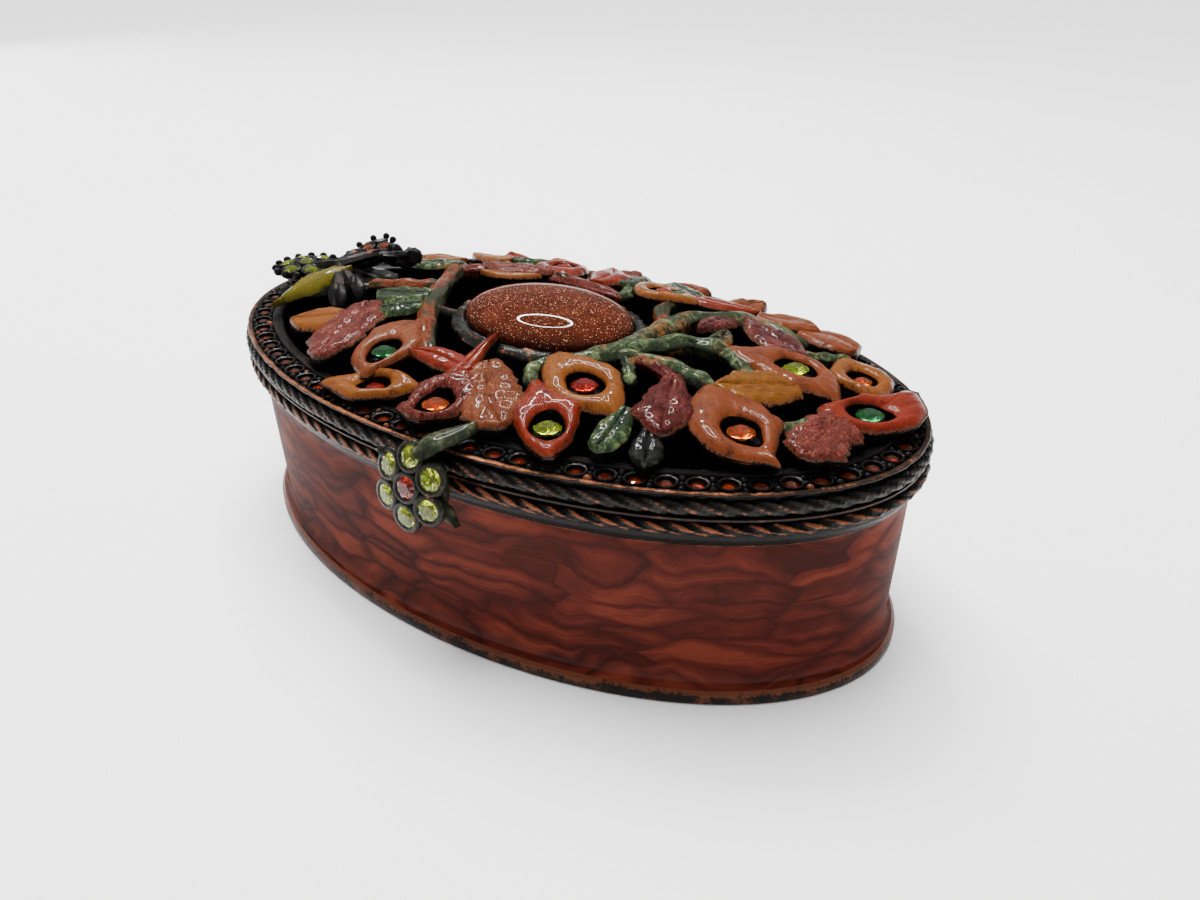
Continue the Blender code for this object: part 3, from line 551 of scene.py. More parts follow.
def leaf_enamel(name, base, light, dark, grain, streak, pitted, coat):
    """Glossy enamel with streaks along the leaf, broad tones, and a worn edge."""
    tree, shader = blank(name)
    along = position(tree, (0.28, 1.0, 1.0), from_uv=True)
    even = position(tree, from_uv=True)
    streaks = speckle(tree, along, 1.3, 4.0, 0.6, 0.6)
    tones = speckle(tree, even, 0.28, 3.0, 0.55, 0.4)
    fine = speckle(tree, even, 2.6, 3.0, 0.7)
    value = weighted(tree, (streaks, streak), (tones, 1.0 - streak), (centred(tree, fine), grain))
    colour = ramp(tree, value, ((0.32, dark), (0.46, base), (0.58, base), (0.76, light)))
    edge = maths(tree, "ADD", wear_and_sheen_value(tree), weighted(tree, (centred(tree, fine), 0.5)))
    rubbed = mixed(tree, step(tree, edge, 0.90, 0.94), colour, WORN_EDGE)
    paint(tree, shader, mixed(tree, step(tree, edge, 0.95, 0.98), rubbed, BLACK))
    gloss(shader, 0.3, coat, 0.05)
    bump(tree, shader, maths(tree, "ADD", streaks, maths(tree, "MULTIPLY", fine, 0.7)), pitted, 0.0004)


def patina(name, green, light, under, copper=0.64, coat=0.3):
    """Green patina over dark metal, with pale tops, black hollows and rubbed copper."""
    tree, shader = blank(name)
    place = position(tree)
    broad = speckle(tree, place, 0.32, 4.0, 0.6, 0.8)
    fine = speckle(tree, place, 1.3, 5.0, 0.75, 0.4)
    mix = weighted(tree, (broad, 0.45), (fine, 0.55))
    raised = maths(tree, "SUBTRACT", wear_and_sheen_value(tree), 0.4)
    high = maths(tree, "ADD", mix, maths(tree, "MULTIPLY", raised, 0.14))
    colour = ramp(tree, high, ((0.41, under), (0.48, green), (0.55, green), (0.65, light)))
    warm = speckle(tree, place, 0.22, 3.0, 0.6, 0.5)
    rubbed = step(tree, weighted(tree, (warm, 0.6), (fine, 0.5)), copper, copper + 0.05)
    paint(tree, shader, mixed(tree, rubbed, colour, (0.110, 0.045, 0.014)))
    gloss(shader, 0.35, coat, 0.05)
    bump(tree, shader, mix, 1.0, 0.0006)


def two_tone(name, first, second, split):
    """Enamel of two colours that change over along a branch, with dark streaks."""
    tree, shader = blank(name)
    place = position(tree)
    broad = speckle(tree, place, 0.16, 2.0, 0.5, 0.8)
    fine = speckle(tree, place, 1.6, 4.0, 0.7)
    normal = tree.nodes.new("ShaderNodeNewGeometry").outputs["Normal"]
    facing = enter(tree, "ShaderNodeSeparateXYZ", Vector=normal)
    side = maths(tree, "ADD", maths(tree, "MULTIPLY", facing.outputs["X"], 0.16), broad)
    colour = mixed(tree, step(tree, side, split - 0.03, split + 0.03), first, second)
    paint(tree, shader, mixed(tree, step(tree, fine, 0.38, 0.50), tinted(first, 0.16), colour))
    gloss(shader, 0.3, 0.3, 0.05)
    bump(tree, shader, fine, 0.8, 0.0004)


def glass(name, colour, foil, lit=0.62):
    """Clear coloured glass, and the foil behind it, whose colour has small bright cells painted in as glints.
    """
    tree, shader = blank(name)
    place = position(tree)
    cloud = ramp(tree, speckle(tree, place, 0.9), ((0.2, tinted(colour, 0.8)), (0.8, colour)))
    paint(tree, shader, cloud)
    shader.inputs["Transmission Weight"].default_value = 0.95
    shader.inputs["Roughness"].default_value = 0.01
    shader.inputs["IOR"].default_value = 1.5
    tree, shader = blank(name + "_foil")
    place = position(tree)
    # Painted glints: a few of the foil's cells are coloured bright and the rest dim; lit sets where the
    # bright ones start
    painted_glints = ramp(tree, own_value(tree, cell_pattern(tree, place, 1.5)), (
        (lit - 0.22, tinted(foil, 0.05)), (lit - 0.10, tinted(foil, 0.35)),
        (lit + 0.12, tinted(foil, 0.6)), (lit + 0.18, foil)))
    paint(tree, shader, painted_glints)
    shader.inputs["Metallic"].default_value = 0.5
    shader.inputs["Roughness"].default_value = 0.3


def wall_enamel():
    """Translucent red-brown enamel over soft brushed strokes that meet in wavy columns."""
    tree, shader = blank("wall_enamel")
    place = position(tree)
    bend = enter(tree, "ShaderNodeTexNoise", Vector=place, Scale=0.07, Detail=2.0, Roughness=0.5)
    shift = enter(tree, "ShaderNodeVectorMath", {"operation": "MULTIPLY_ADD"}, i0=bend.outputs["Color"],
                  i1=(24.0, 24.0, 10.0), i2=place)
    squash = enter(tree, "ShaderNodeMapping", Vector=shift.outputs[0])
    squash.inputs["Scale"].default_value = (0.058, 0.058, 0.27)
    edges = cell_pattern(tree, squash.outputs[0], 1.0, 0.85, "DISTANCE_TO_EDGE")
    cells = cell_pattern(tree, squash.outputs[0], 1.0, 0.85)
    local = enter(tree, "ShaderNodeVectorMath", {"operation": "SUBTRACT"}, i0=squash.outputs[0],
                  i1=cells.outputs["Position"])
    parts = enter(tree, "ShaderNodeSeparateXYZ", Vector=local.outputs[0])
    outline = ramp(tree, edges.outputs["Distance"], ((0.0, 0.0), (0.08, 0.35), (0.19, 0.80), (0.36, 1.0)))
    brush = speckle(tree, squash.outputs[0], 2.2, 3.0, 0.6, 1.2)
    streak = enter(tree, "ShaderNodeMapping", Vector=squash.outputs[0])
    streak.inputs["Scale"].default_value = (1.0, 1.0, 6.0)
    lines = speckle(tree, streak.outputs[0], 1.4, 2.0, 0.5, 0.5)
    tone = weighted(tree, (outline, 0.36), (brush, 0.42), (lines, 0.22), (own_value(tree, cells), 0.16),
                    (parts.outputs["X"], -0.16))
    body = ramp(tree, tone, ((0.34, (0.0190, 0.0034, 0.0023)), (0.52, (0.0380, 0.0060, 0.0038)),
                             (0.68, (0.0620, 0.0098, 0.0058)), (0.86, (0.1080, 0.0200, 0.0102))))
    broad = speckle(tree, place, 0.03, 2.0, 0.5)
    cloudy = mixed(tree, ramp(tree, broad, ((0.35, 0.0), (0.7, 0.3))), body, (0.0540, 0.0088, 0.0054))
    paint(tree, shader, cloudy)
    gloss(shader, 0.4, 0.10, 0.0)
    bump(tree, shader, speckle(tree, place, 0.12, 2.0, 0.5), 0.12, 0.0006)


def goldstone():
    """Polished red-brown glass full of copper glitter."""
    tree, shader = blank("goldstone")
    place = position(tree)
    cells = cell_pattern(tree, place, 4.3)
    near = ramp(tree, cells.outputs["Distance"], ((0.20, 1.0), (0.30, 0.0)))
    bright = ramp(tree, own_value(tree, cells), ((0.30, 0.02), (0.62, 0.13), (0.86, 0.42), (0.97, 1.0)))
    sparks = maths(tree, "MULTIPLY", near, bright, clamp=True)
    cloud = ramp(tree, speckle(tree, place, 0.25, 3.0),
                 ((0.3, (0.020, 0.0034, 0.0014)), (0.7, (0.044, 0.0078, 0.0034))))
    paint(tree, shader, mixed(tree, sparks, cloud, (0.90, 0.46, 0.22)))
    gloss(shader, 0.3, 0.35, 0.0, 0.012)


def table_surface():
    """A pale matt table that stays light far from the lamps."""
    tree, shader = blank("floor")
    colour = (0.80, 0.785, 0.78)
    cloud = speckle(tree, position(tree), 0.02, 3.0)
    paint(tree, shader, ramp(tree, cloud, ((0.3, tinted(colour, 0.99)), (0.7, colour))))
    gloss(shader, 0.8, 0.0)
    metres = tree.nodes.new("ShaderNodeTexCoord").outputs["Object"]
    away = enter(tree, "ShaderNodeVectorMath", {"operation": "LENGTH"}, i0=metres).outputs["Value"]
    share = maths(tree, "DIVIDE", away, TABLE_GLOW_REACH, clamp=True)
    glow = ramp(tree, share, ((0.08, 0.0), (0.25, 0.5), (0.5, 0.85), (1.0, 1.0)))
    tree.links.new(maths(tree, "MULTIPLY", glow, TABLE_GLOW), shader.inputs["Emission Strength"])
    shader.inputs["Emission Color"].default_value = (1.0, 0.985, 0.98, 1.0)


def lamp_glow():
    shader = blank("lamp")[1]
    shader.inputs["Base Color"].default_value = (0.0, 0.0, 0.0, 1.0)
    shader.inputs["Emission Color"].default_value = (1.0, 0.98, 0.96, 1.0)
    shader.inputs["Emission Strength"].default_value = LAMP_GLOW


# Enamels: middle, light and dark colour, grain, streaks, pitting, coat
ENAMELS = {
    "ochre": ((0.092, 0.027, 0.0042), (0.17, 0.066, 0.016), (0.030, 0.008, 0.0020),
            0.5, 0.5, 0.4, 0.24),
    "golden": ((0.078, 0.026, 0.0032), (0.16, 0.076, 0.014), (0.026, 0.008, 0.0015),
            0.6, 0.8, 0.5, 0.2),
    "mauve": ((0.056, 0.0105, 0.0072), (0.165, 0.050, 0.036), (0.010, 0.002, 0.002),
            1.2, 0.6, 0.9, 0.2),
    "maroon": ((0.034, 0.0050, 0.0042), (0.120, 0.030, 0.022), (0.007, 0.0015, 0.0015),
            1.1, 0.5, 0.8, 0.2),
    "brown": ((0.076, 0.0185, 0.0062), (0.15, 0.050, 0.020), (0.024, 0.006, 0.002),
            0.5, 0.5, 0.4, 0.24),
    "terracotta": ((0.072, 0.0160, 0.0045), (0.14, 0.042, 0.013), (0.024, 0.005, 0.002),
            0.5, 0.5, 0.4, 0.24),
    "red": ((0.076, 0.0075, 0.0028), (0.16, 0.026, 0.008), (0.024, 0.002, 0.001),
            0.6, 0.5, 0.4, 0.24),
    "copper": ((0.070, 0.0180, 0.0062), (0.17, 0.062, 0.028), (0.018, 0.004, 0.002),
            1.1, 0.4, 0.8, 0.2),
    "olive": ((0.058, 0.046, 0.0035), (0.14, 0.13, 0.026), (0.022, 0.016, 0.002),
            0.5, 0.8, 0.4, 0.25),
}


def build_materials():
    wall_enamel()
    goldstone()
    lamp_glow()
    worn_metal("rope", 0.80, 0.90, grain=2.2, tint=(0.022, 0.019, 0.015))
    worn_metal("box_rope", 0.60, 0.72, grain=1.7, tint=(0.008, 0.0065, 0.005))
    worn_metal("dark_metal", 0.70, 0.90)
    worn_metal("black_metal", 0.80, 0.95, shine=0.45)
    worn_metal("copper_lip", 0.78, 0.94, copper=(0.20, 0.066, 0.026), dark=(0.008, 0.0045, 0.003),
               grain=2.0, shine=0.34)
    worn_metal("flange", 0.57, 0.67, copper=(0.085, 0.026, 0.012), dark=(0.004, 0.0022, 0.0018), grain=2.2)
    worn_metal("leaf_side", 0.78, 0.98)
    worn_metal("collar_metal", 0.72, 0.84, dark=(0.003, 0.0032, 0.0028), tint=(0.020, 0.021, 0.018),
               shine=0.38)
    worn_metal("inside", 0.95, 1.0, shine=0.7)
    for name, look in ENAMELS.items():
        leaf_enamel(name, *look)
    patina("green", (0.010, 0.018, 0.0075), (0.075, 0.110, 0.040), (0.0020, 0.0026, 0.0020))
    patina("dark_leaf", (0.0035, 0.0040, 0.0035), (0.014, 0.015, 0.012), (0.0016, 0.0016, 0.0014), 0.72)
    patina("green_branch", (0.012, 0.019, 0.0085), (0.085, 0.110, 0.045), (0.0022, 0.0028, 0.0022), 0.60)
    patina("flower_metal", (0.0070, 0.0078, 0.0050), (0.034, 0.030, 0.016), (0.0016, 0.0016, 0.0012),
           0.64, 0.2)
    patina("arm_metal", (0.0085, 0.0115, 0.0060), (0.050, 0.055, 0.026), (0.0018, 0.0020, 0.0016), 0.60, 0.25)
    two_tone("branch_brown", (0.080, 0.018, 0.0055), (0.013, 0.018, 0.009), 0.53)
    glass("lime", (0.48, 0.58, 0.010), (0.32, 0.38, 0.006))
    glass("green_glass", (0.030, 0.26, 0.075), (0.03, 0.25, 0.06))
    glass("red_glass", (0.62, 0.022, 0.006), (0.45, 0.03, 0.004))
    glass("amber", (0.75, 0.15, 0.006), (0.60, 0.12, 0.004))
    glass("smoky", (0.24, 0.040, 0.003), (0.90, 0.20, 0.010), 0.80)
    glass("pale_lime", (0.80, 0.92, 0.05), (0.36, 0.44, 0.008))
    glass("clear_glass", (0.95, 0.93, 0.88), (0.5, 0.47, 0.40))
    table_surface()


# Leaves

# Stones of the leaves' eyes
LARGE = 0.004
SMALL = 0.003

# Leaf of the lid: its enamel and kind of outline, then as in the source: root and tip in hundredths of
# the rim's halves, width, bow, lift of root and tip, and, for an eye, its place and its stone
Leaf = namedtuple("Leaf", "name paint shape root tip width bow lift_root lift_tip eye stone",
                  defaults=(0, None))

LEAVES = (
    Leaf("mauve_left", "mauve", "jagged", (-48, -29), (-39, -78), 26, 0, 2, 6),
    Leaf("ochre_left", "ochre", "leaf", (-49, -44), (-64, -56), 23, 0, 0, 4),
    Leaf("brown_left", "brown", "ring", (-29, -34), (-21, -80), 31, 0, 2, 8, 62, LARGE),
    Leaf("ochre_front_left", "ochre", "almond", (-6, -74), (-31, -89), 20, 0, 0, 0, 45, SMALL),
    Leaf("mauve_front", "mauve", "ring", (2, -58), (3, -94), 30, 0, 3, 4, 64, LARGE),
    Leaf("red_spike", "red", "spike", (1, -66), (-1, -33), 13, 0, 4, 6),
    Leaf("red_arm", "red", "leaf", (3, -61), (-17, -60), 13, -8, 4, 6),
    Leaf("copper_front", "copper", "jagged", (4, -50), (23, -83), 23, -6, 0, 6),
    Leaf("red_front", "red", "ring", (17, -50), (38, -89), 26, 4, 2, 6, 64, LARGE),
    Leaf("ochre_front", "ochre", "ring", (15, -34), (43, -57), 28, 0, 6, 6, 54, LARGE),
    Leaf("green_bud_front", "green", "bud", (43, -50), (45, -77), 13, 0, 0, 4),
    Leaf("dark_front", "dark_leaf", "bud", (50, -54), (56, -74), 11, 0, -4, 0),
    Leaf("maroon_front", "maroon", "jagged", (45, -22), (54, -58), 19, 0, 2, 6),
    Leaf("brown_right", "terracotta", "ring", (46, 13), (79, 5), 30, 16, 4, 4, 56, LARGE),
    Leaf("golden_right", "golden", "jagged", (70, 3), (55, -20), 24, 0, 0, 6),
    Leaf("terracotta_right", "terracotta", "ring", (53, -15), (80, -50), 30, -8, 3, 8, 60, LARGE),
    Leaf("mauve_right", "mauve", "jagged", (82, -5), (82, -40), 22, 0, 0, 4),
    Leaf("red_right", "red", "ring", (77, -8), (91, 34), 25, -20, 2, 8, 38, LARGE),
    Leaf("ochre_right", "ochre", "ring", (85, 20), (70, 50), 24, 0, 0, 4, 42, SMALL),
    Leaf("mauve_back_right", "maroon", "leaf", (64, 29), (41, 54), 22, 0, 2, 6),
    Leaf("maroon_inner", "maroon", "leaf", (38, 54), (38, 20), 15, 0, 0, 4),
    Leaf("green_bud_inner", "green", "bud", (45, 10), (44, 28), 10, 0, 0, 6),
    Leaf("green_left", "green", "jagged", (-33, -14), (-51, -20), 17, 0, 6, 4),
    Leaf("green_left_small", "green", "jagged", (-31, -24), (-43, -36), 12, 0, 4, 2),
    Leaf("dark_left_front", "dark_leaf", "leaf", (-62, 0), (-89, -27), 22, 0, -8, -6),
    Leaf("dark_left_back", "dark_leaf", "leaf", (-62, 4), (-90, 20), 20, 0, -8, -6),
    Leaf("red_back_left", "red", "ring", (-14, 50), (-29, 84), 26, 6, 8, 10, 52, LARGE),
    Leaf("red_curl_back", "red", "leaf", (-3, 46), (-12, 84), 22, -10, 8, 10),
    Leaf("green_back", "green", "bud", (2, 56), (-1, 86), 15, 0, 4, 6),
    Leaf("ochre_back", "ochre", "ring", (27, 56), (5, 64), 27, 10, 12, 10, 50, LARGE),
    Leaf("green_arch_back", "green", "leaf", (26, 64), (10, 83), 17, 10, 8, 8),
    Leaf("red_back", "red", "leaf", (22, 60), (42, 70), 20, 0, 8, 6),
    Leaf("terracotta_back", "terracotta", "leaf", (42, 65), (60, 66), 21, 8, 7, 8),
    Leaf("terracotta_back_tip", "terracotta", "bud", (55, 62), (72, 55), 20, 10, 4, 6),
    Leaf("ochre_back_left", "ochre", "leaf", (-52, 46), (-69, 42), 18, 0, 6, 6),
    Leaf("ochre_back_middle", "ochre", "leaf", (-38, 58), (-56, 60), 19, 0, 10, 8),
    Leaf("green_bud_back", "green", "bud", (-38, 56), (-30, 74), 13, 0, 10, 8),
    Leaf("mauve_back", "mauve", "leaf", (-19, 50), (-43, 42), 20, 10, 8, 10),
    Leaf("ochre_base_back", "ochre", "leaf", (-21, 44), (-37, 28), 15, 0, 2, 2),
    Leaf("green_curl_left", "green", "bud", (-47, 34), (-66, 28), 16, 0, 6, 4),
    Leaf("red_edge_back", "red", "leaf", (-40, 66), (-51, 82), 20, 0, 0, 0),
    Leaf("ochre_edge_back", "ochre", "ring", (-24, 68), (-36, 90), 20, 0, 0, 0, 50, SMALL),
    Leaf("mauve_edge_back", "mauve", "jagged", (-11, 74), (-5, 94), 19, 0, 2, 0),
    Leaf("brown_edge_back", "brown", "ring", (5, 74), (20, 92), 22, 0, 2, 0, 50, SMALL),
    Leaf("copper_edge_back", "copper", "jagged", (28, 70), (38, 90), 19, 0, 0, 0),
)

LEAF_GLASS = ("green_glass", "red_glass", "amber", "lime", "red_glass", "lime", "amber", "green_glass",
              "amber", "red_glass", "amber", "lime", "amber")


def leaf_line(leaf, share):
    """Middle of a leaf at a share of its length, the direction to its left, its lift and its length."""
    root = Vector(plan(leaf.root))
    run = Vector(plan(leaf.tip)) - root
    left = Vector((-run.y, run.x))
    bow = leaf.bow / 100
    place = root + run * share + left * bow * math.sin(math.pi * share)
    heading = (run + left * bow * math.pi * math.cos(math.pi * share)).normalized()
    lift = (leaf.lift_root + (leaf.lift_tip - leaf.lift_root) * share) / 10000
    return place, Vector((-heading.y, heading.x)), lift, run.length


# Corners and notches on the leaf outlines: share of the length, side, share of the half width, spread
CORNERS = {
    "mauve_front": ((0.90, -1, 0.40, 0.14), (0.55, 1, -0.12, 0.2)),
    "copper_front": ((0.72, 1, 0.28, 0.12), (0.88, -1, 0.30, 0.10), (0.40, -1, -0.25, 0.2)),
    "red_front": ((0.42, 1, 0.28, 0.12), (0.12, -1, -0.25, 0.2), (0.12, 1, -0.25, 0.2)),
    "terracotta_right": ((0.62, 1, 0.26, 0.10), (0.90, 1, -0.30, 0.2), (0.90, -1, -0.12, 0.2)),
    "mauve_right": ((0.78, 1, 0.35, 0.12), (0.45, 1, -0.15, 0.15), (0.85, -1, 0.20, 0.1)),
    "maroon_front": ((0.66, -1, 0.45, 0.16), (0.60, 1, 0.25, 0.14), (0.2, -1, -0.3, 0.25),
                     (0.2, 1, -0.2, 0.2)),
    "golden_right": ((0.45, 1, 0.14, 0.10), (0.70, 1, 0.16, 0.08), (0.9, -1, -0.2, 0.2)),
    "brown_right": ((0.15, 1, -0.2, 0.2), (0.80, -1, 0.22, 0.14), (0.2, -1, 0.2, 0.15)),
    "ochre_front": ((0.55, 1, 0.12, 0.2), (0.9, -1, -0.2, 0.2)),
    "brown_left": ((0.2, -1, 0.35, 0.2), (0.85, 1, -0.15, 0.2)),
    "ochre_front_left": ((0.55, 1, 0.18, 0.2),),
}


def leaf_width(leaf, share, side, seed):
    """Half width of a leaf at a share of its length, on its left (1) or right (-1) side."""
    body = math.sin(math.pi * (0.13 + 0.85 * share))
    if leaf.shape == "almond":
        body = math.sin(math.pi * (0.04 + 0.93 * share)) ** 0.85
    elif leaf.shape == "ring":
        body = 0.12 + 0.95 * math.sin(math.pi * (0.06 + 0.90 * share)) ** 1.15
        body *= 1.0 - 0.30 * max(0.0, share - 0.86) / 0.14
    elif leaf.shape == "bud":
        body = 0.25 + 0.8 * math.sin(math.pi * (0.05 + 0.85 * share)) ** 0.8
        body *= math.sqrt(max(0.02, min(1.0, (1.0 - share) * 6)))
    elif leaf.shape == "spike":
        body = 1.0 - 0.9 * share
    elif leaf.shape == "jagged":
        teeth = 1.0 - abs((share * 6.5 + 0.25 * side) % 1.0 - 0.35)
        body = min(1.1, 0.42 + 1.1 * math.sin(math.pi * (0.02 + 0.78 * share))) * (0.80 + 0.24 * teeth)
        body *= min(1.0, math.sqrt(max(0.015, (1.0 - share) * 3.2)))
    for spot, facing, reach, spread in CORNERS.get(leaf.name, ()):
        if facing == side:
            body += reach * max(0.0, 1.0 - abs(share - spot) / spread)
    wave = 1.0 + 0.22 * noise.noise(Vector((share * 2.6, side * 5.0, seed)))
    fine = 1.0 + 0.07 * noise.noise(Vector((share * 11.0, side * 5.0, seed + 9)))
    return leaf.width / 200 * HALF_WIDTH * body * wave * fine


# Shares of the way from the eye or middle line to the edge at which the face has its rings
FRACTIONS = (0.0, 0.05, 0.14, 0.26, 0.40, 0.55, 0.70, 0.83, 0.92, 0.97, 1.0)
OUTLINE_POINTS = 56

# Height of the crumpled grain, and of the veins, in each enamel
GRAIN = {"mauve": 0.00026, "copper": 0.00024, "maroon": 0.00022, "green": 0.00024, "dark_leaf": 0.00022}
VEIN = {"mauve": 0.00007, "maroon": 0.00006, "copper": 0.00006, "golden": 0.00007}


def leaf_height(leaf, fraction, share, lateral, seed, point, length):
    """Height of the face above the leaf's plane, from the eye or middle line (0) to the edge (1)."""
    edge = -0.0006 * max(0.0, (fraction - 0.66) / 0.34) ** 2.0
    if leaf.stone:
        crown = 0.0009 * math.sin(math.pi * min(1.0, 0.20 + 0.72 * fraction)) - 0.00045
        crown -= 0.0004 * max(0.0, 1.0 - fraction / 0.16) ** 2
    else:
        crown = 0.00055 * math.sin(math.pi * min(1.0, 0.30 + 0.62 * fraction))
        crown -= 0.00025 * max(0.0, 1.0 - fraction / 0.16) ** 1.5
    wander = 2.5 * noise.noise(point * 260 + Vector((seed, 0, 0)))
    vein = math.sin((share * length * MILLIMETRES - abs(lateral) * 650) * 2.3 + seed + wander)
    grain = noise.noise(point * 620) * 0.7 + noise.noise(point * 1500) * 0.5
    swell = 0.00030 * noise.noise(point * 190 + Vector((0, seed, 0)))
    fade = 1.0 - fraction ** 6
    relief = vein * VEIN.get(leaf.paint, 0.00002) + grain * GRAIN.get(leaf.paint, 0.00006)
    return edge + crown + relief * fade + swell


def leaf_mesh(leaf, number):
    """Leaf with a crowned face, a rounded eye rim over its pocket, and dark sides to a narrow back."""
    seed = number * 3.7
    count = OUTLINE_POINTS
    edge_points = []
    for k in range(2 * count):
        side = 1.0 if k < count else -1.0
        share = (k + 0.5) / count if k < count else (2 * count - k - 0.5) / count
        share = 0.5 - 0.5 * math.cos(math.pi * min(1.0, max(0.0, share)))
        half = leaf_width(leaf, share, side, seed)
        middle, across, lift, length = leaf_line(leaf, share)
        edge_points.append((middle + across * side * half, share, side * half, lift))
    inner = []
    rings = []
    lift_eye = 0.0
    if leaf.stone:
        middle, across, lift_eye, _ = leaf_line(leaf, leaf.eye / 100)
        forward = Vector((across.y, -across.x))
        short = leaf.stone / 2 + EYE_MARGIN
        for edge, _, _, _ in edge_points:
            away = edge - middle
            turn = math.atan2(away.dot(across), away.dot(forward) / EYE_STRETCH)
            loose = 1.0 + 0.16 * noise.noise(Vector((math.cos(turn) * 1.1, math.sin(turn) * 1.1, seed)))
            along = forward * short * EYE_STRETCH * math.cos(turn)
            inner.append(middle + (along + across * short * math.sin(turn)) * loose)
        for scale, depth in ((0.30, EYE_DEPTH), (0.97, EYE_DEPTH - 0.00004), (1.0, EYE_DEPTH * 0.55),
                             (1.0, 0.0005)):
            ring = []
            for spot in inner:
                place = middle + (spot - middle) * scale
                height = dome(middle.x, middle.y) + lift_eye - depth
                ring.append((Vector((place.x, place.y, height)), place, 0.45))
            rings.append((ring, "pocket"))
    else:
        inner = [leaf_line(leaf, 0.05 + 0.90 * share)[0] for _, share, _, _ in edge_points]
    for fraction in FRACTIONS:
        ring = []
        for (edge, share, lateral, lift), spot in zip(edge_points, inner):
            place = spot.lerp(edge, fraction)
            lean = lift_eye + (lift - lift_eye) * fraction if leaf.stone else lift
            point = Vector((place.x, place.y, 0.0))
            height = dome(place.x, place.y) + lean + leaf_height(
                leaf, fraction, share, lateral * fraction, seed, point, length)
            ring.append((Vector((place.x, place.y, height)), place, fraction))
        rings.append((ring, "face"))
    depth = EYE_DEPTH + 0.0009 if leaf.stone else LEAF_DEPTH - 0.0002
    back = 0.55 if leaf.stone else 0.18
    for width, down in ((1.0, 0.0006), (0.95, 0.0011), (0.80, 0.5 * depth + 0.0006), (back, depth)):
        ring = []
        for (edge, _, _, lift), spot in zip(edge_points, inner):
            place = spot.lerp(edge, width)
            rough = noise.noise(Vector((place.x, place.y, down)) * 800) * 0.00012
            height = dome(place.x, place.y) + lift - down + rough
            ring.append((Vector((place.x, place.y, height)), place, 0.35))
        rings.append((ring, "side"))
    root = Vector(plan(leaf.root))
    axis = (Vector(plan(leaf.tip)) - root).normalized()
    left = Vector((-axis.y, axis.x))
    offset = number * 17.3
    points = []
    uvs = []
    wear = []
    for ring, _ in rings:
        for point, place, value in ring:
            flat = (place - root) * MILLIMETRES
            points.append(point)
            uvs.append((flat.dot(axis) + offset, flat.dot(left) + offset * 0.4))
            wear.append(value)
    slots = []
    for (_, here), (_, after) in zip(rings, rings[1:]):
        slots += [0 if here == after == "face" else 1] * len(edge_points)
    slots += [1, 1]
    return points, capped_faces(len(rings), len(edge_points)), uvs, slots, wear


def build_leaves():
    pieces = []
    for number, leaf in enumerate(LEAVES):
        points, faces, uvs, slots, wear = leaf_mesh(leaf, number)
        pieces.append(make("leaf_" + leaf.name, points, faces, [leaf.paint, "leaf_side"], uvs, slots, wear,
                           angle=50))
    return pieces


def stone_place(leaf):
    middle, _, lift, _ = leaf_line(leaf, leaf.eye / 100)
    height = dome(middle.x, middle.y) + lift - EYE_DEPTH + STONE_GAP + STONE_BACK * leaf.stone / 2
    return Vector((middle.x, middle.y, height))


def build_leaf_stones():
    """The stone in each leaf that has an eye, and the foil cup behind it."""
    cup = [(0.0001, -0.64), (0.55, -0.42), (1.02, -0.06), (1.06, 0.0), (1.06, -0.1), (0.6, -0.5),
           (0.0001, -0.72)]
    eyed = [leaf for leaf in LEAVES if leaf.stone]
    for number, (leaf, colour) in enumerate(zip(eyed, LEAF_GLASS), start=1):
        radius = (leaf.stone - STONE_GAP) / 2
        matrix = axes_at(stone_place(leaf), (0, 0, 1), number * 0.7)
        item = make(f"leaf_stone_{number:02d}", *brilliant(radius, matrix, 10), [colour], smooth=False)
        finish_piece(item, f"leaf_crystal_{number:02d}")
        foil = turned_points(scaled(cup, radius), 20, matrix)
        finish_piece(make(f"leaf_foil_{number:02d}", *foil, [colour + "_foil"], smooth=False))


def finish_piece(item, *nodes):
    """Put a piece on the part's body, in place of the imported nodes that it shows."""
    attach(item, "root")
    if nodes:
        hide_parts(*nodes)


# Branches

# Ties between the collar and the branches: direction from the middle in degrees, and place
TIES = ((5, (29, -1)), (103, (-8, 46)), (200, (-31, -20)), (-28, (27, -19)))

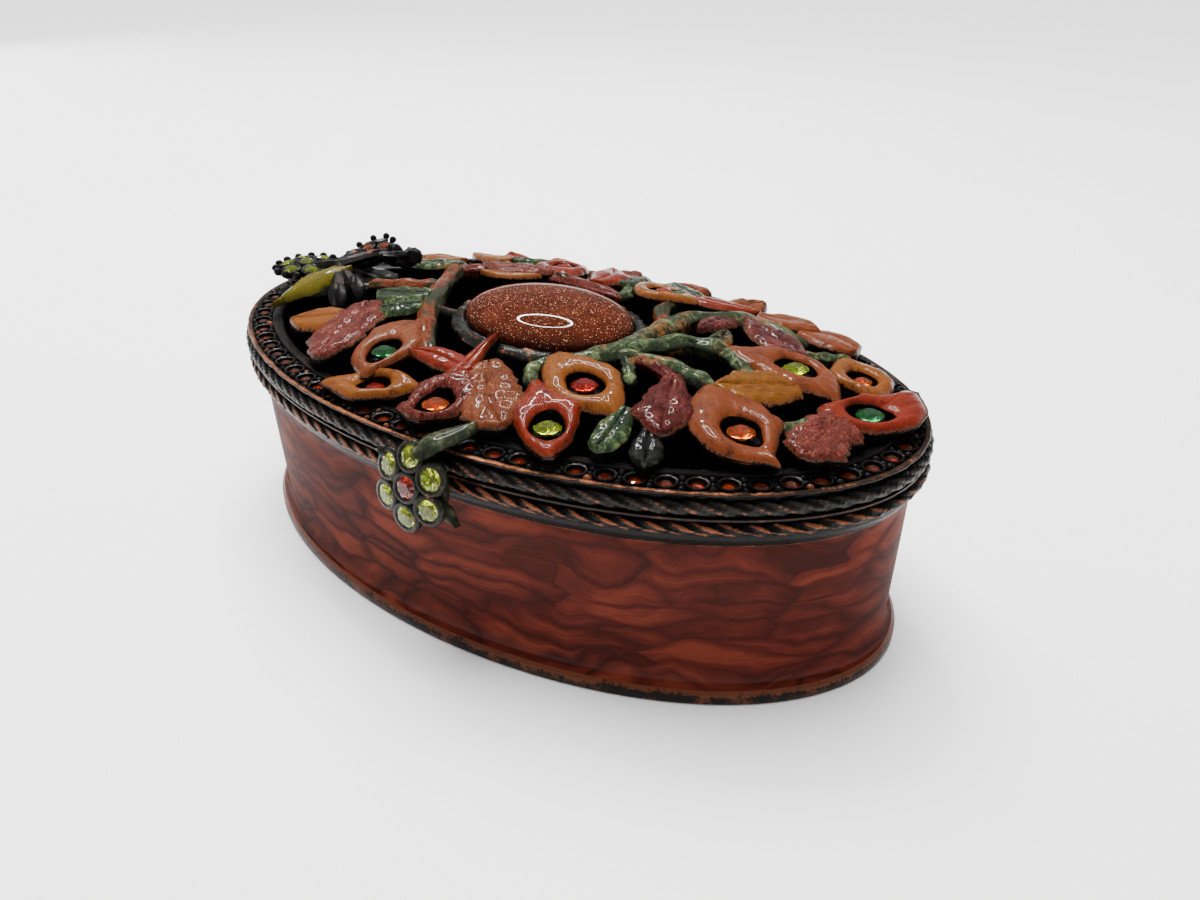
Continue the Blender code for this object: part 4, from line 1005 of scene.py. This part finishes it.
# Branches: name, run in the same shares as the leaves, diameter and material
BRANCHES = (
    ("left", ((-50, 40), (-47, 28), (-39, 3), (-31, -20), (-24, -36), (-13, -56)), 0.0034, "branch_brown"),
    ("red_arm", ((-62, -8), (-50, -2), (-39, 3)), 0.0028, "branch_brown"),
    ("right", ((20, -37), (27, -19), (29, -1), (30, 17), (31, 34), (36, 50), (45, 56), (60, 52)), 0.0036,
     "green_branch"),
    ("olive_arch", ((28, -16), (33, -2), (40, 10), (49, 14)), 0.0034, "green_branch"),
    ("green_right", ((48, 12), (54, 6), (60, -6)), 0.0026, "green_branch"),
    ("green_low", ((27, -19), (34, -16), (45, -14), (56, -20)), 0.0028, "green_branch"),
    ("pink_stem", ((32, -16), (40, -18), (49, -26)), 0.0024, "maroon"),
    ("stub", ((31, -18), (38, -34)), 0.002, "green_branch"),
    ("green_front", ((18, -34), (15, -46), (19, -55)), 0.0024, "green_branch"),
    ("stem_right", ((74, -28), (80, -10)), 0.0022, "green_branch"),
    ("stem_back_right", ((62, 34), (72, 50)), 0.0024, "green_branch"),
    ("twig_back", ((8, 40), (5, 54), (-6, 74)), 0.0024, "green_branch"),
    ("ochre_stem", ((30, 18), (22, 36), (20, 56)), 0.0028, "branch_brown"),
    ("collar_back", ((-48, 30), (-40, 40), (-22, 48), (-8, 46), (8, 40)), 0.0028, "mauve"),
    ("left_end", ((-58, 4), (-74, 8), (-93, 5)), 0.0028, "dark_leaf"),
    ("left_back", ((-50, 40), (-64, 44), (-80, 46)), 0.0028, "green_branch"),
    ("back_rim", ((-34, 58), (-46, 74)), 0.0024, "dark_leaf"),
)


def build_branches():
    pieces = []
    for number, (name, run, diameter, enamel) in enumerate(BRANCHES):
        line = smooth_line([above_dome(place, -BRANCH_SINK) for place in run], 14 + 9 * len(run))
        half = diameter / 2
        batch = Batch()
        widths = [half * share for share in (0.9, 1.12, 0.9, 1.15, 0.92, 1.1, 0.7)]
        sweep(batch, line, widths, 24, flat=0.85, rough=0.00045, ridges=0.00012, seed=number * 5.1)
        item = batch.make("branch_" + name, enamel, angle=70)
        map_plane(item, 0, 1)
        pieces.append(item)
    return pieces


def build_ties():
    """Short struts between the collar and the branches near it."""
    batch = Batch()
    long_half, short_half = CABOCHON_HALVES
    for angle, place in TIES:
        turn = math.radians(angle)
        outward = Vector((math.cos(turn) / long_half, math.sin(turn) / short_half, 0.0)).normalized()
        foot = Vector((long_half * math.cos(turn), short_half * math.sin(turn), RIM_TOP + 0.0032))
        start = foot + outward * 0.0016
        end = above_dome(place, -BRANCH_SINK)
        sweep(batch, smooth_line((start, start.lerp(end, 0.5), end), 12), (0.0011, 0.0009, 0.0011), 12,
              rough=0.0003, seed=angle)
    return batch.make("collar_ties", "collar_metal", angle=70)


# Rim, ropes, collar and box

def rope(name, diameter, middle, strands, twist, material):
    """A twisted rope bead round the oval: flattened strands with narrow grooves that slant down."""
    per_strand = 12
    columns = 20
    inset = diameter / 2 - ROPE_OVERHANG
    angles = equal_angles(strands * per_strand, inset)
    points = []
    wear = []
    for number, turn in enumerate(angles):
        outward = oval_direction(turn)
        centre = oval_point(inset, turn, middle)
        # Painted sheen: the wear value is raised at the front and right of the oval and lowered at the back,
        # so the copper and the paler base shine most at the front
        front = 0.72 - 0.36 * math.sin(turn) + 0.10 * math.cos(turn)
        for c in range(columns):
            around = math.tau * c / columns
            phase = math.pi * number / per_strand + twist * around
            phase += 0.30 * noise.noise(centre * 160)
            strand = abs(math.sin(phase)) ** 0.6
            line = 0.5 + 0.5 * math.cos(6 * phase)
            rough = noise.noise(centre * 700 + Vector((0, 0, around * 2))) * 0.00012 - 0.00006 * line
            radius = diameter / 2 * (0.66 + 0.34 * strand) + rough - 0.00008
            flat = Vector((outward.x, outward.y, 0.0)) * math.cos(around)
            points.append(centre + (flat + Vector((0, 0, math.sin(around)))) * radius)
            # Wear on the strand crests, less in the grooves: real rubbing, and through the paler base in
            # worn_metal also a painted sheen on the crests
            wear.append(front * strand ** 3 * max(0.0, math.cos(around - 0.3)) ** 0.5 * (1.0 - 0.15 * line))
    faces = grid_faces(len(angles), columns, close_rows=True)
    return make(name, points, faces, [material], wear=wear, angle=60)


def build_rim():
    """The lid's rim: cove, copper lip, channel for the stones and locating lip."""
    cove = LID_BOTTOM + LID_ROPE
    lip_outer = 0.0032
    lip_bottom = 0.0303
    underside = RIM_TOP - 0.0026
    profile = [
        (lip_outer, LID_BOTTOM), (0.0010, LID_BOTTOM + 0.0001), (0.0006, LID_BOTTOM + 0.0005),
        (0.0006, cove - 0.0003), (0.00072, cove), (0.00068, cove + 0.00035), (0.0001, cove + 0.00055),
        (-0.00002, cove + 0.00075), (-0.00002, RIM_TOP - 0.00012), (0.0001, RIM_TOP), (0.0006, RIM_TOP),
        (CHANNEL_OUTER, RIM_TOP - 0.0001), (CHANNEL_OUTER + 0.00005, CHANNEL_FLOOR),
        (CHANNEL_INNER - 0.00005, CHANNEL_FLOOR), (CHANNEL_INNER, RIM_TOP + 0.0001),
        (CHANNEL_INNER + 0.0002, RIM_TOP + 0.0003), (CHANNEL_INNER + 0.0008, RIM_TOP + 0.00022),
        (OPENING_INSET - 0.0002, RIM_TOP + 0.00005), (OPENING_INSET, RIM_TOP - 0.0002),
        (OPENING_INSET, underside), (CHANNEL_INNER, underside), (CHANNEL_INNER, lip_bottom),
        (lip_outer, lip_bottom),
    ]
    slots = [1 if 6 <= k < 11 else 0 for k in range(len(profile))]
    wear = [0.0] * len(profile)
    wear[7:12] = [0.1, 0.7, 1.0, 0.8, 0.2]
    wear[15] = 0.7
    wear[17] = 0.75
    return rim_ring("lid_rim", profile, ["black_metal", "copper_lip"], 400, slots, wear, 0.00014)


def build_rim_stones():
    """The small stones in the rim's channel, with their settings, beads and foil."""
    middle = (CHANNEL_OUTER + CHANNEL_INNER) / 2
    stones = Batch()
    settings = Batch()
    shuffle = random.Random(4)
    cup = [(1.0, -0.6), (1.14, -0.6), (1.42, 0.0), (1.30, 0.36), (1.06, 0.30), (1.0, -0.1)]
    for turn in equal_angles(RIM_STONES, middle):
        place = oval_point(middle, turn, RIM_TOP - 0.00035)
        outward = oval_direction(turn)
        heading = math.atan2(outward.y, outward.x)
        lean = Vector((shuffle.uniform(-0.10, 0.10), shuffle.uniform(-0.10, 0.10), 1.0))
        sunk = place - Vector((0, 0, RIM_STONE_SINK))
        stones.add(*brilliant(RIM_STONE_RADIUS, axes_at(sunk, lean, heading + shuffle.uniform(0, 0.4)), 8))
        settings.add(*turned_ring(scaled(cup, RIM_STONE_RADIUS), 16, axes_at(place, (0, 0, 1))), 0.15)
    for turn in equal_angles(2 * RIM_STONES, middle)[1::2]:
        for inset in (middle - 0.00115, middle + 0.00115):
            place = oval_point(inset, turn, RIM_TOP - 0.00035)
            size = shuffle.uniform(0.00045, 0.0007)
            settings.add(*sphere_points(size, axes_at(place, (0, 0, 1)), 5, 8), shuffle.uniform(0, 0.9))
        place = oval_point(middle, turn, RIM_TOP - 0.0005)
        settings.add(*sphere_points(0.0006, axes_at(place, (0, 0, 1)), 5, 8), 0.2)
    finish_piece(stones.make("rim_stones", "smoky", smooth=False), "rim_crystals")
    finish_piece(settings.make("rim_settings", "dark_metal", angle=50))
    outer = CHANNEL_OUTER + STONE_GAP
    inner = CHANNEL_INNER - STONE_GAP
    low = CHANNEL_FLOOR + 0.00002
    high = CHANNEL_FLOOR + 0.00008
    foil = [(outer, low), (outer, high), (inner, high), (inner, low)]
    finish_piece(rim_ring("rim_foil", foil, ["smoky_foil"], 150))


def build_collar():
    """The rough dark cup round the cabochon, with its floor under the stone."""
    profile = [(-0.0017, -0.0012), (-0.0024, -0.0004), (-0.0026, 0.0001), (-0.0022, 0.0007),
               (-0.0015, 0.00115), (-0.0008, 0.00125), (-0.0004, 0.0011), (-0.0003, 0.0004), (-0.0003, 0.0)]
    stations = 180
    long_half, short_half = CABOCHON_HALVES
    points = []
    wear = []
    for k in range(stations):
        turn = math.tau * k / stations
        outward = Vector((math.cos(turn) / long_half, math.sin(turn) / short_half)).normalized()
        for number, (inset, height) in enumerate(profile):
            ridge = 0.0
            if 1 < number < 7:
                wander = 5 * noise.noise(Vector((turn * 2.2, number * 0.3, 0)))
                ridge = 0.00016 * math.sin(number * 2.3 + wander)
                ridge += 0.00036 * noise.noise(Vector((turn * 11, number * 0.9, 2.0)))
            moved = inset - ridge * 0.4
            points.append(Vector((long_half * math.cos(turn) - moved * outward.x,
                                  short_half * math.sin(turn) - moved * outward.y,
                                  COLLAR_FLOOR + height + ridge)))
            wear.append(0.5 + ridge * 1500)
    return make("collar", points, ring_faces(stations, len(profile)), ["collar_metal"], wear=wear, angle=60)


def build_cabochon():
    """The goldstone: a dome over a low edge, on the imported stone's underside."""
    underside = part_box("cabochon")[0][2]
    edge = 0.0014
    rise = 0.0054 - edge
    arc = [math.pi / 2 * k / 26 for k in range(1, 27)]
    profile = [(0.0001, edge + rise)] + [(math.sin(turn), edge + rise * math.cos(turn)) for turn in arc]
    profile += [(1.0, 0.0009), (0.985, 0.0004), (0.94, 0.0), (0.0001, 0.0)]
    points = []
    sides = 96
    for radius, height in profile:
        for k in range(sides):
            turn = math.tau * k / sides
            points.append(Vector((CABOCHON_CUT[0] * radius * math.cos(turn),
                                  CABOCHON_CUT[1] * radius * math.sin(turn), underside + height)))
    item = make("goldstone_oval", points, capped_faces(len(profile), sides), ["goldstone"])
    finish_piece(item, "cabochon")


def build_box():
    """The body: flange, flare, enamelled wall, black band, ledge, and the dark inside."""
    rope_bottom = BOX_HEIGHT - 0.0006 - BOX_ROPE
    outer = [
        (0.0006, 0.0), (0.00018, 0.00008), (0.0001, 0.0003), (0.00012, 0.0014), (0.0003, 0.0018),
        (0.0007, 0.0022), (0.0011, 0.0028), (0.00145, 0.0037), (0.00168, 0.0050), (0.00175, 0.0060),
        (0.0017, 0.009), (0.0016, 0.013), (0.00152, 0.017), (0.00145, 0.021), (0.0014, 0.0245),
        (0.00135, rope_bottom - 0.0024), (0.0012, rope_bottom - 0.0022), (0.0008, rope_bottom - 0.0016),
        (0.0004, rope_bottom - 0.0009), (0.0002, rope_bottom - 0.0005), (0.0003, rope_bottom + 0.0001),
        (0.0003, BOX_HEIGHT - 0.0006), (0.0, BOX_HEIGHT - 0.0004), (0.0, BOX_HEIGHT - 0.0001),
        (0.0002, BOX_HEIGHT),
    ]
    inner = [(0.00285, BOX_HEIGHT), (0.0029, 0.026), (0.0031, 0.012), (0.0033, 0.0022), (0.0038, 0.0017),
             (0.0052, 0.0016)]
    profile = outer + inner
    stations = 320
    points = []
    wear = []
    values = [0.3, 0.45, 0.5, 0.5, 0.75, 0.8] + [0.0] * 9 + [1.0, 0.9] + [0.0] * 4
    values += [0.3, 0.7, 0.75, 0.5] + [0.0] * 6
    for turn in equal_angles(stations):
        for number, (inset, height) in enumerate(profile):
            point = oval_point(inset, turn, height)
            if number < 6 or 15 < number < 25:
                shift = noise.noise(point * 600) * 0.00006
                point = oval_point(inset + abs(shift), turn, max(0.0, height + shift * 0.3 * (number > 0)))
            points.append(point)
            wear.append(values[number])
    columns = len(profile)
    kinds = [1] * 5 + [0] * 10 + [2] * 6 + [3] * 3 + [4] * 6
    slots = kinds * stations + [1, 4]
    item = make("box_body", points, ring_faces(stations, columns),
                ["wall_enamel", "flange", "black_metal", "copper_lip", "inside"], None, slots, wear, angle=38)
    finish_piece(item, "box")
    finish_piece(rope("box_rope", BOX_ROPE, rope_bottom + BOX_ROPE / 2, BOX_STRANDS, BOX_TWIST, "box_rope"))


# Crystal flowers

def flower_frames(centre, normal, pitch, tilt):
    """Place and normal of a flower's middle stone and of the six stones round it."""
    across = Vector((1.0, 0.0, 0.0))
    upward = normal.cross(across).normalized()
    across = upward.cross(normal)
    frames = [(centre, normal)]
    for k in range(6):
        turn = math.tau * (k + 0.5) / 6
        outward = across * math.cos(turn) + upward * math.sin(turn)
        place = centre + outward * pitch * math.cos(tilt / 2) - normal * pitch * math.sin(tilt / 2)
        frames.append((place, (normal * math.cos(tilt) + outward * math.sin(tilt)).normalized()))
    return frames


def flower_pitch(diameter, tilt):
    wall = 0.00035
    apart = (diameter / 2 + STONE_GAP / math.cos(math.pi / 6)) * math.sqrt(3)
    return apart + wall + 0.001 * math.sin(tilt)


def set_flower(batch, name, frames, diameter, pitch, colours, spread, knobs=0, knob_size=0.0):
    """Stones with their foil, a dark cup round each, a domed plate behind, and knobs round the edge."""
    radius = diameter / 2
    lift = max(0.0, STONE_BACK * radius + STONE_GAP - 0.001) - 0.0001
    cup = [(0.001, -0.64), (0.55, -0.42), (0.99, -0.08), (1.0, -0.14), (0.6, -0.5), (0.001, -0.72)]
    wall = [(1.0, -0.55), (1.12, -0.6), (1.28, -0.35), (1.32, -0.02), (1.2, 0.17), (1.02, 0.20),
            (0.88, 0.14), (0.9, 0.02)]
    for number, ((place, normal), colour) in enumerate(zip(frames, colours), start=1):
        matrix = axes_at(place + normal * lift, normal, number * 0.9)
        item = make(f"{name}_stone_{number}", *brilliant(radius * 0.97, matrix, 8), [colour], smooth=False)
        finish_piece(item, f"{name}_crystal_{number}")
        foil = turned_points(scaled(cup, radius), 16, matrix)
        finish_piece(make(f"{name}_foil_{number}", *foil, [colour + "_foil"], smooth=False))
        batch.add(*turned_ring(scaled(wall, radius), 20, matrix), 0.3)
        for claw in range(4):
            turn = math.tau * (claw + 0.5) / 4 + number
            reach = radius * 1.02
            spot = matrix @ Vector((reach * math.cos(turn), reach * math.sin(turn), radius * 0.04))
            batch.add(*sphere_points(radius * 0.16, axes_at(spot, normal), 4, 7), 0.6)
    centre, normal = frames[0]
    reach = pitch + 0.35 * diameter
    outer = pitch * math.sin(spread)
    plate = [(0.3 * reach, -0.0006), (0.75 * reach, -0.0008 - 0.4 * outer), (reach, -0.001 - outer),
             (reach, -0.0016 - outer), (0.7 * reach, -0.0017 - outer), (0.2 * reach, -0.0017 - outer)]
    base = axes_at(centre, normal)
    batch.add(*turned_points(plate, 36, base), 0.2)
    for k in range(knobs):
        turn = math.tau * (k + 0.5) / knobs
        out = Vector((math.cos(turn), math.sin(turn), 0.0))
        foot = base @ (out * reach * 0.96 + Vector((0, 0, -0.0010 - outer)))
        tip = base @ (out * (reach + 0.6 * knob_size) + Vector((0, 0, -0.0003 - 0.7 * outer)))
        line = [foot.lerp(tip, s) for s in (0.0, 0.35, 0.7, 1.0)]
        sweep(batch, line, (0.5 * knob_size, 0.42 * knob_size, 0.42 * knob_size, 0.42 * knob_size), 8)
        batch.add(*sphere_points(0.52 * knob_size, axes_at(tip, out), 6, 9), 0.5)


def simple_leaf(batch, knots, width, thickness, shape, normal=(0, 0, 1)):
    """A small loose leaf along a line: a crowned top over a flat back."""
    line = smooth_line(knots, 26)
    points = []
    wear = []
    columns = 14
    for k, middle in enumerate(line):
        share = k / (len(line) - 1)
        ahead = (line[min(k + 1, len(line) - 1)] - line[max(k - 1, 0)]).normalized()
        side = ahead.cross(Vector(normal)).normalized()
        up = side.cross(ahead)
        half = width / 2 * level(shape, share) * (1 + 0.20 * noise.noise(middle * 700))
        for c in range(columns):
            turn = math.tau * c / columns
            flat = math.cos(turn)
            top = math.sin(turn)
            height = top * thickness / 2
            height += 0.00012 * max(0.0, top) * (1 - abs(flat)) * 4 - 0.0001
            points.append(middle + side * half * flat + up * height)
            wear.append(0.4 + 0.5 * max(0.0, 1 - abs(flat)) * (top > 0))
    batch.add(points, capped_faces(len(line), columns), wear)


def build_front_flower():
    """The flower on the front of the rim, its sepals, and the leaf that carries it."""
    tilt = math.radians(14)
    petal = math.radians(12)
    normal = Vector((0.0, -math.cos(tilt), math.sin(tilt)))
    centre = Vector((0.095 * HALF_LENGTH, -HALF_WIDTH - 0.0042, RIM_TOP - 0.0045))
    pitch = flower_pitch(FRONT_STONE, petal)
    frames = flower_frames(centre, normal, pitch, petal)
    batch = Batch()
    set_flower(batch, "front", frames, FRONT_STONE, pitch, ("red_glass",) + ("pale_lime",) * 6, petal / 2)
    for angle, reach in ((-100, 0.0022), (-30, 0.0024), (-150, 0.0012), (150, 0.0010)):
        turn = math.radians(angle)
        out = Vector((math.cos(turn), 0.0, math.sin(turn)))
        foot = centre + out * (pitch + 0.001) + Vector((0, 0.0016, 0))
        tip = centre + out * (pitch + 0.0019 + reach) + Vector((0, 0.0012, 0))
        simple_leaf(batch, (foot, foot.lerp(tip, 0.5), tip), 0.0030, 0.0009, (0.8, 1.0, 0.8, 0.4, 0.06),
                    (0, -1, 0.2))
    arm = Batch()
    x = centre.x
    deck = RIM_TOP + 0.0019
    simple_leaf(arm, ((x + 0.0010, -HALF_WIDTH - 0.0030, centre.z + pitch * 1.05),
                      (x + 0.0022, -HALF_WIDTH - 0.0008, deck - 0.0004),
                      (x + 0.0038, -HALF_WIDTH + 0.0021, deck),
                      (x + 0.0052, -HALF_WIDTH + 0.0048, deck + 0.0003)), 0.0046, 0.0014,
                (0.75, 0.95, 1.0, 0.8, 0.2))
    finish_piece(batch.make("front_flower_body", "flower_metal", angle=50), "front_flower")
    finish_piece(arm.make("front_flower_leaf", "arm_metal", angle=50))


def lump(batch, place, radius, stretch, heading, grooves, crumple=0.08):
    """A ribbed bud."""
    matrix = axes_at(place, heading)
    rings, sides = 12, 24
    points = []
    wear = []
    for r in range(rings):
        polar = math.pi * (r + 0.3) / (rings - 0.4)
        for c in range(sides):
            turn = math.tau * c / sides
            rib = 1.0 - 0.30 * (0.5 + 0.5 * math.cos(grooves * turn + 1.5 * polar)) * math.sin(polar)
            rib += crumple * noise.noise(Vector((math.cos(turn), math.sin(turn), polar)) * 2.1 + place * 900)
            points.append(matrix @ Vector((radius * rib * math.sin(polar) * math.cos(turn),
                                           radius * rib * math.sin(polar) * math.sin(turn),
                                           stretch * radius * math.cos(polar))))
            wear.append(0.5 * rib)
    batch.add(points, capped_faces(rings, sides), wear)


def build_spray():
    """The spray on the left end: two flowers, stems, buds, lumps and the long petal."""
    up = Vector((0.0, 0.0, 1.0))
    large_tilt = math.radians(12)
    small_tilt = math.radians(18)
    large_pitch = flower_pitch(LARGE_STONE, large_tilt)
    small_pitch = flower_pitch(SMALL_STONE, small_tilt)
    x, y = plan((-85, -12))
    base = dome(x, y) + 0.0013 + 0.001 + 0.0007
    large_centre = Vector((x, y, base + large_pitch * math.sin(large_tilt / 2)))
    large = flower_frames(large_centre, up, large_pitch, large_tilt)
    small_centre = above_dome((-73, 12), 0.0042)
    small = flower_frames(small_centre, Vector((-0.15, -0.35, 1.0)).normalized(), small_pitch, small_tilt)
    batch = Batch()
    set_flower(batch, "large", large, LARGE_STONE, large_pitch, ("lime",) * 7, large_tilt / 2, 15, 0.0015)
    set_flower(batch, "small", small, SMALL_STONE, small_pitch,
               ("amber", "amber", "clear_glass", "amber", "red_glass", "clear_glass", "amber"),
               small_tilt / 2, 10, 0.0013)
    low = 0.0012 + 0.001
    fork = above_dome((-74, -8), low + 0.0004)
    front_bud = above_dome((-61, -29), 0.0002)
    middle_bud = above_dome((-60, -19), 0.0002)
    back_lump = above_dome((-65.5, 17.5), low + 0.0004)
    far_lump = above_dome((-59, 17), low + 0.0002)
    crest = above_dome((-68, 10), low + 0.0008)
    start = large_centre - Vector((0, 0, 0.0013))
    stems = ((start, fork, crest, back_lump), (crest, crest.lerp(far_lump, 0.5), far_lump),
             (fork, (fork + small_centre) / 2, small_centre - Vector((0, 0, 0.0012))),
             (fork, fork.lerp(front_bud, 0.5), front_bud), (fork, fork.lerp(middle_bud, 0.5), middle_bud))
    for number, knots in enumerate(stems):
        sweep(batch, smooth_line(knots, 24), (0.0011, 0.0013, 0.0011), 16, rough=0.0004, ridges=0.00012,
              seed=number)
    hanging = Vector((0.7, -0.5, -0.5))
    lump(batch, front_bud, 0.00185, 1.65, hanging, 5)
    lump(batch, middle_bud, 0.00185, 1.65, hanging, 5)
    lump(batch, back_lump, 0.0020, 1.1, (0.2, 0.1, 1.0), 3, 0.5)
    lump(batch, far_lump, 0.0020, 1.3, (0.8, 0.5, 0.3), 4, 0.5)
    finish_piece(batch.make("end_spray_body", "black_metal", angle=50), "end_spray")
    petal = Batch()
    root = above_dome((-68, -8), 0.0024)
    tip = above_dome((-79, -45), -0.0002)
    rise = Vector((0, 0, 0.0006))
    simple_leaf(petal, (tip, tip.lerp(root, 0.35) + rise, tip.lerp(root, 0.7) + rise, root), 0.0050, 0.0011,
                (0.06, 0.62, 1.0, 0.80, 0.15), (0.40, -0.22, 1.0))
    item = petal.make("end_petal", "olive", angle=50)
    map_plane(item, 1, 0)
    finish_piece(item)


# Stage

def build_stage():
    """A pale table, a soft lamp above, one at the left, a weak one at the right, and a ring lamp."""
    table = bpy.data.meshes.new("floor")
    corners = [(x, y, FLOOR_DROP) for x, y in ((-1, -1), (1, -1), (1, 1), (-1, 1))]
    table.from_pydata([(TABLE_REACH * x, TABLE_REACH * y, z) for x, y, z in corners], [], [(0, 1, 2, 3)])
    table.materials.append(MATERIALS["floor"])
    floor = bpy.data.objects.new("floor", table)
    bpy.context.scene.collection.objects.link(floor)
    place = axes_at(RING_LAMP_PLACE, Vector(RING_LAMP_PLACE))
    inner, outer = RING_LAMP_RADII
    section = [(inner, 0.0), (outer, 0.0), (outer, 0.004), (inner, 0.004)]
    lamp = make("ring_lamp", *turned_ring(section, 64, place), ["lamp"])
    world = bpy.data.worlds.new("studio")
    bpy.context.scene.world = world
    world.use_nodes = True
    tree = world.node_tree
    background = tree.nodes["Background"]
    background.inputs["Color"].default_value = (0.98, 0.98, 1.0, 1.0)
    seen = tree.nodes.new("ShaderNodeLightPath").outputs["Is Camera Ray"]
    extra = maths(tree, "MULTIPLY", seen, BACKDROP_GLOW - WORLD_GLOW)
    tree.links.new(maths(tree, "ADD", extra, WORLD_GLOW), background.inputs["Strength"])
    for name, place, width, power in SOFT_LAMPS:
        light = bpy.data.lights.new(name, "AREA")
        light.energy = power
        light.size = width
        item = bpy.data.objects.new(name, light)
        item.location = place
        item.visible_glossy = False
        aim = Vector((0, 0, 0.02)) - Vector(place)
        item.rotation_euler = aim.to_track_quat("-Z", "Y").to_euler()
        bpy.context.scene.collection.objects.link(item)


def build_camera():
    data = bpy.data.cameras.new("camera")
    data.lens = LENS
    data.sensor_width = SENSOR_WIDTH
    data.clip_start = 0.01
    camera = bpy.data.objects.new("camera", data)
    bpy.context.scene.collection.objects.link(camera)
    right = Vector(CAMERA_RIGHT)
    ahead = Vector(CAMERA_AHEAD).normalized()
    right = (right - ahead * right.dot(ahead)).normalized()
    upward = right.cross(ahead)
    basis = Matrix((right, upward, -ahead)).transposed().to_4x4()
    camera.matrix_world = Matrix.Translation(CAMERA_PLACE) @ basis
    bpy.context.scene.camera = camera


def main():
    build_materials()
    build_box()
    finish_piece(build_rim(), "lid")
    upper = rope("lid_rope", LID_ROPE, LID_BOTTOM + LID_ROPE / 2, LID_STRANDS, LID_TWIST, "rope")
    for item in [upper, build_collar(), build_ties()] + build_leaves() + build_branches():
        finish_piece(item)
    build_cabochon()
    build_rim_stones()
    build_leaf_stones()
    build_front_flower()
    build_spray()
    build_stage()
    build_camera()


main()
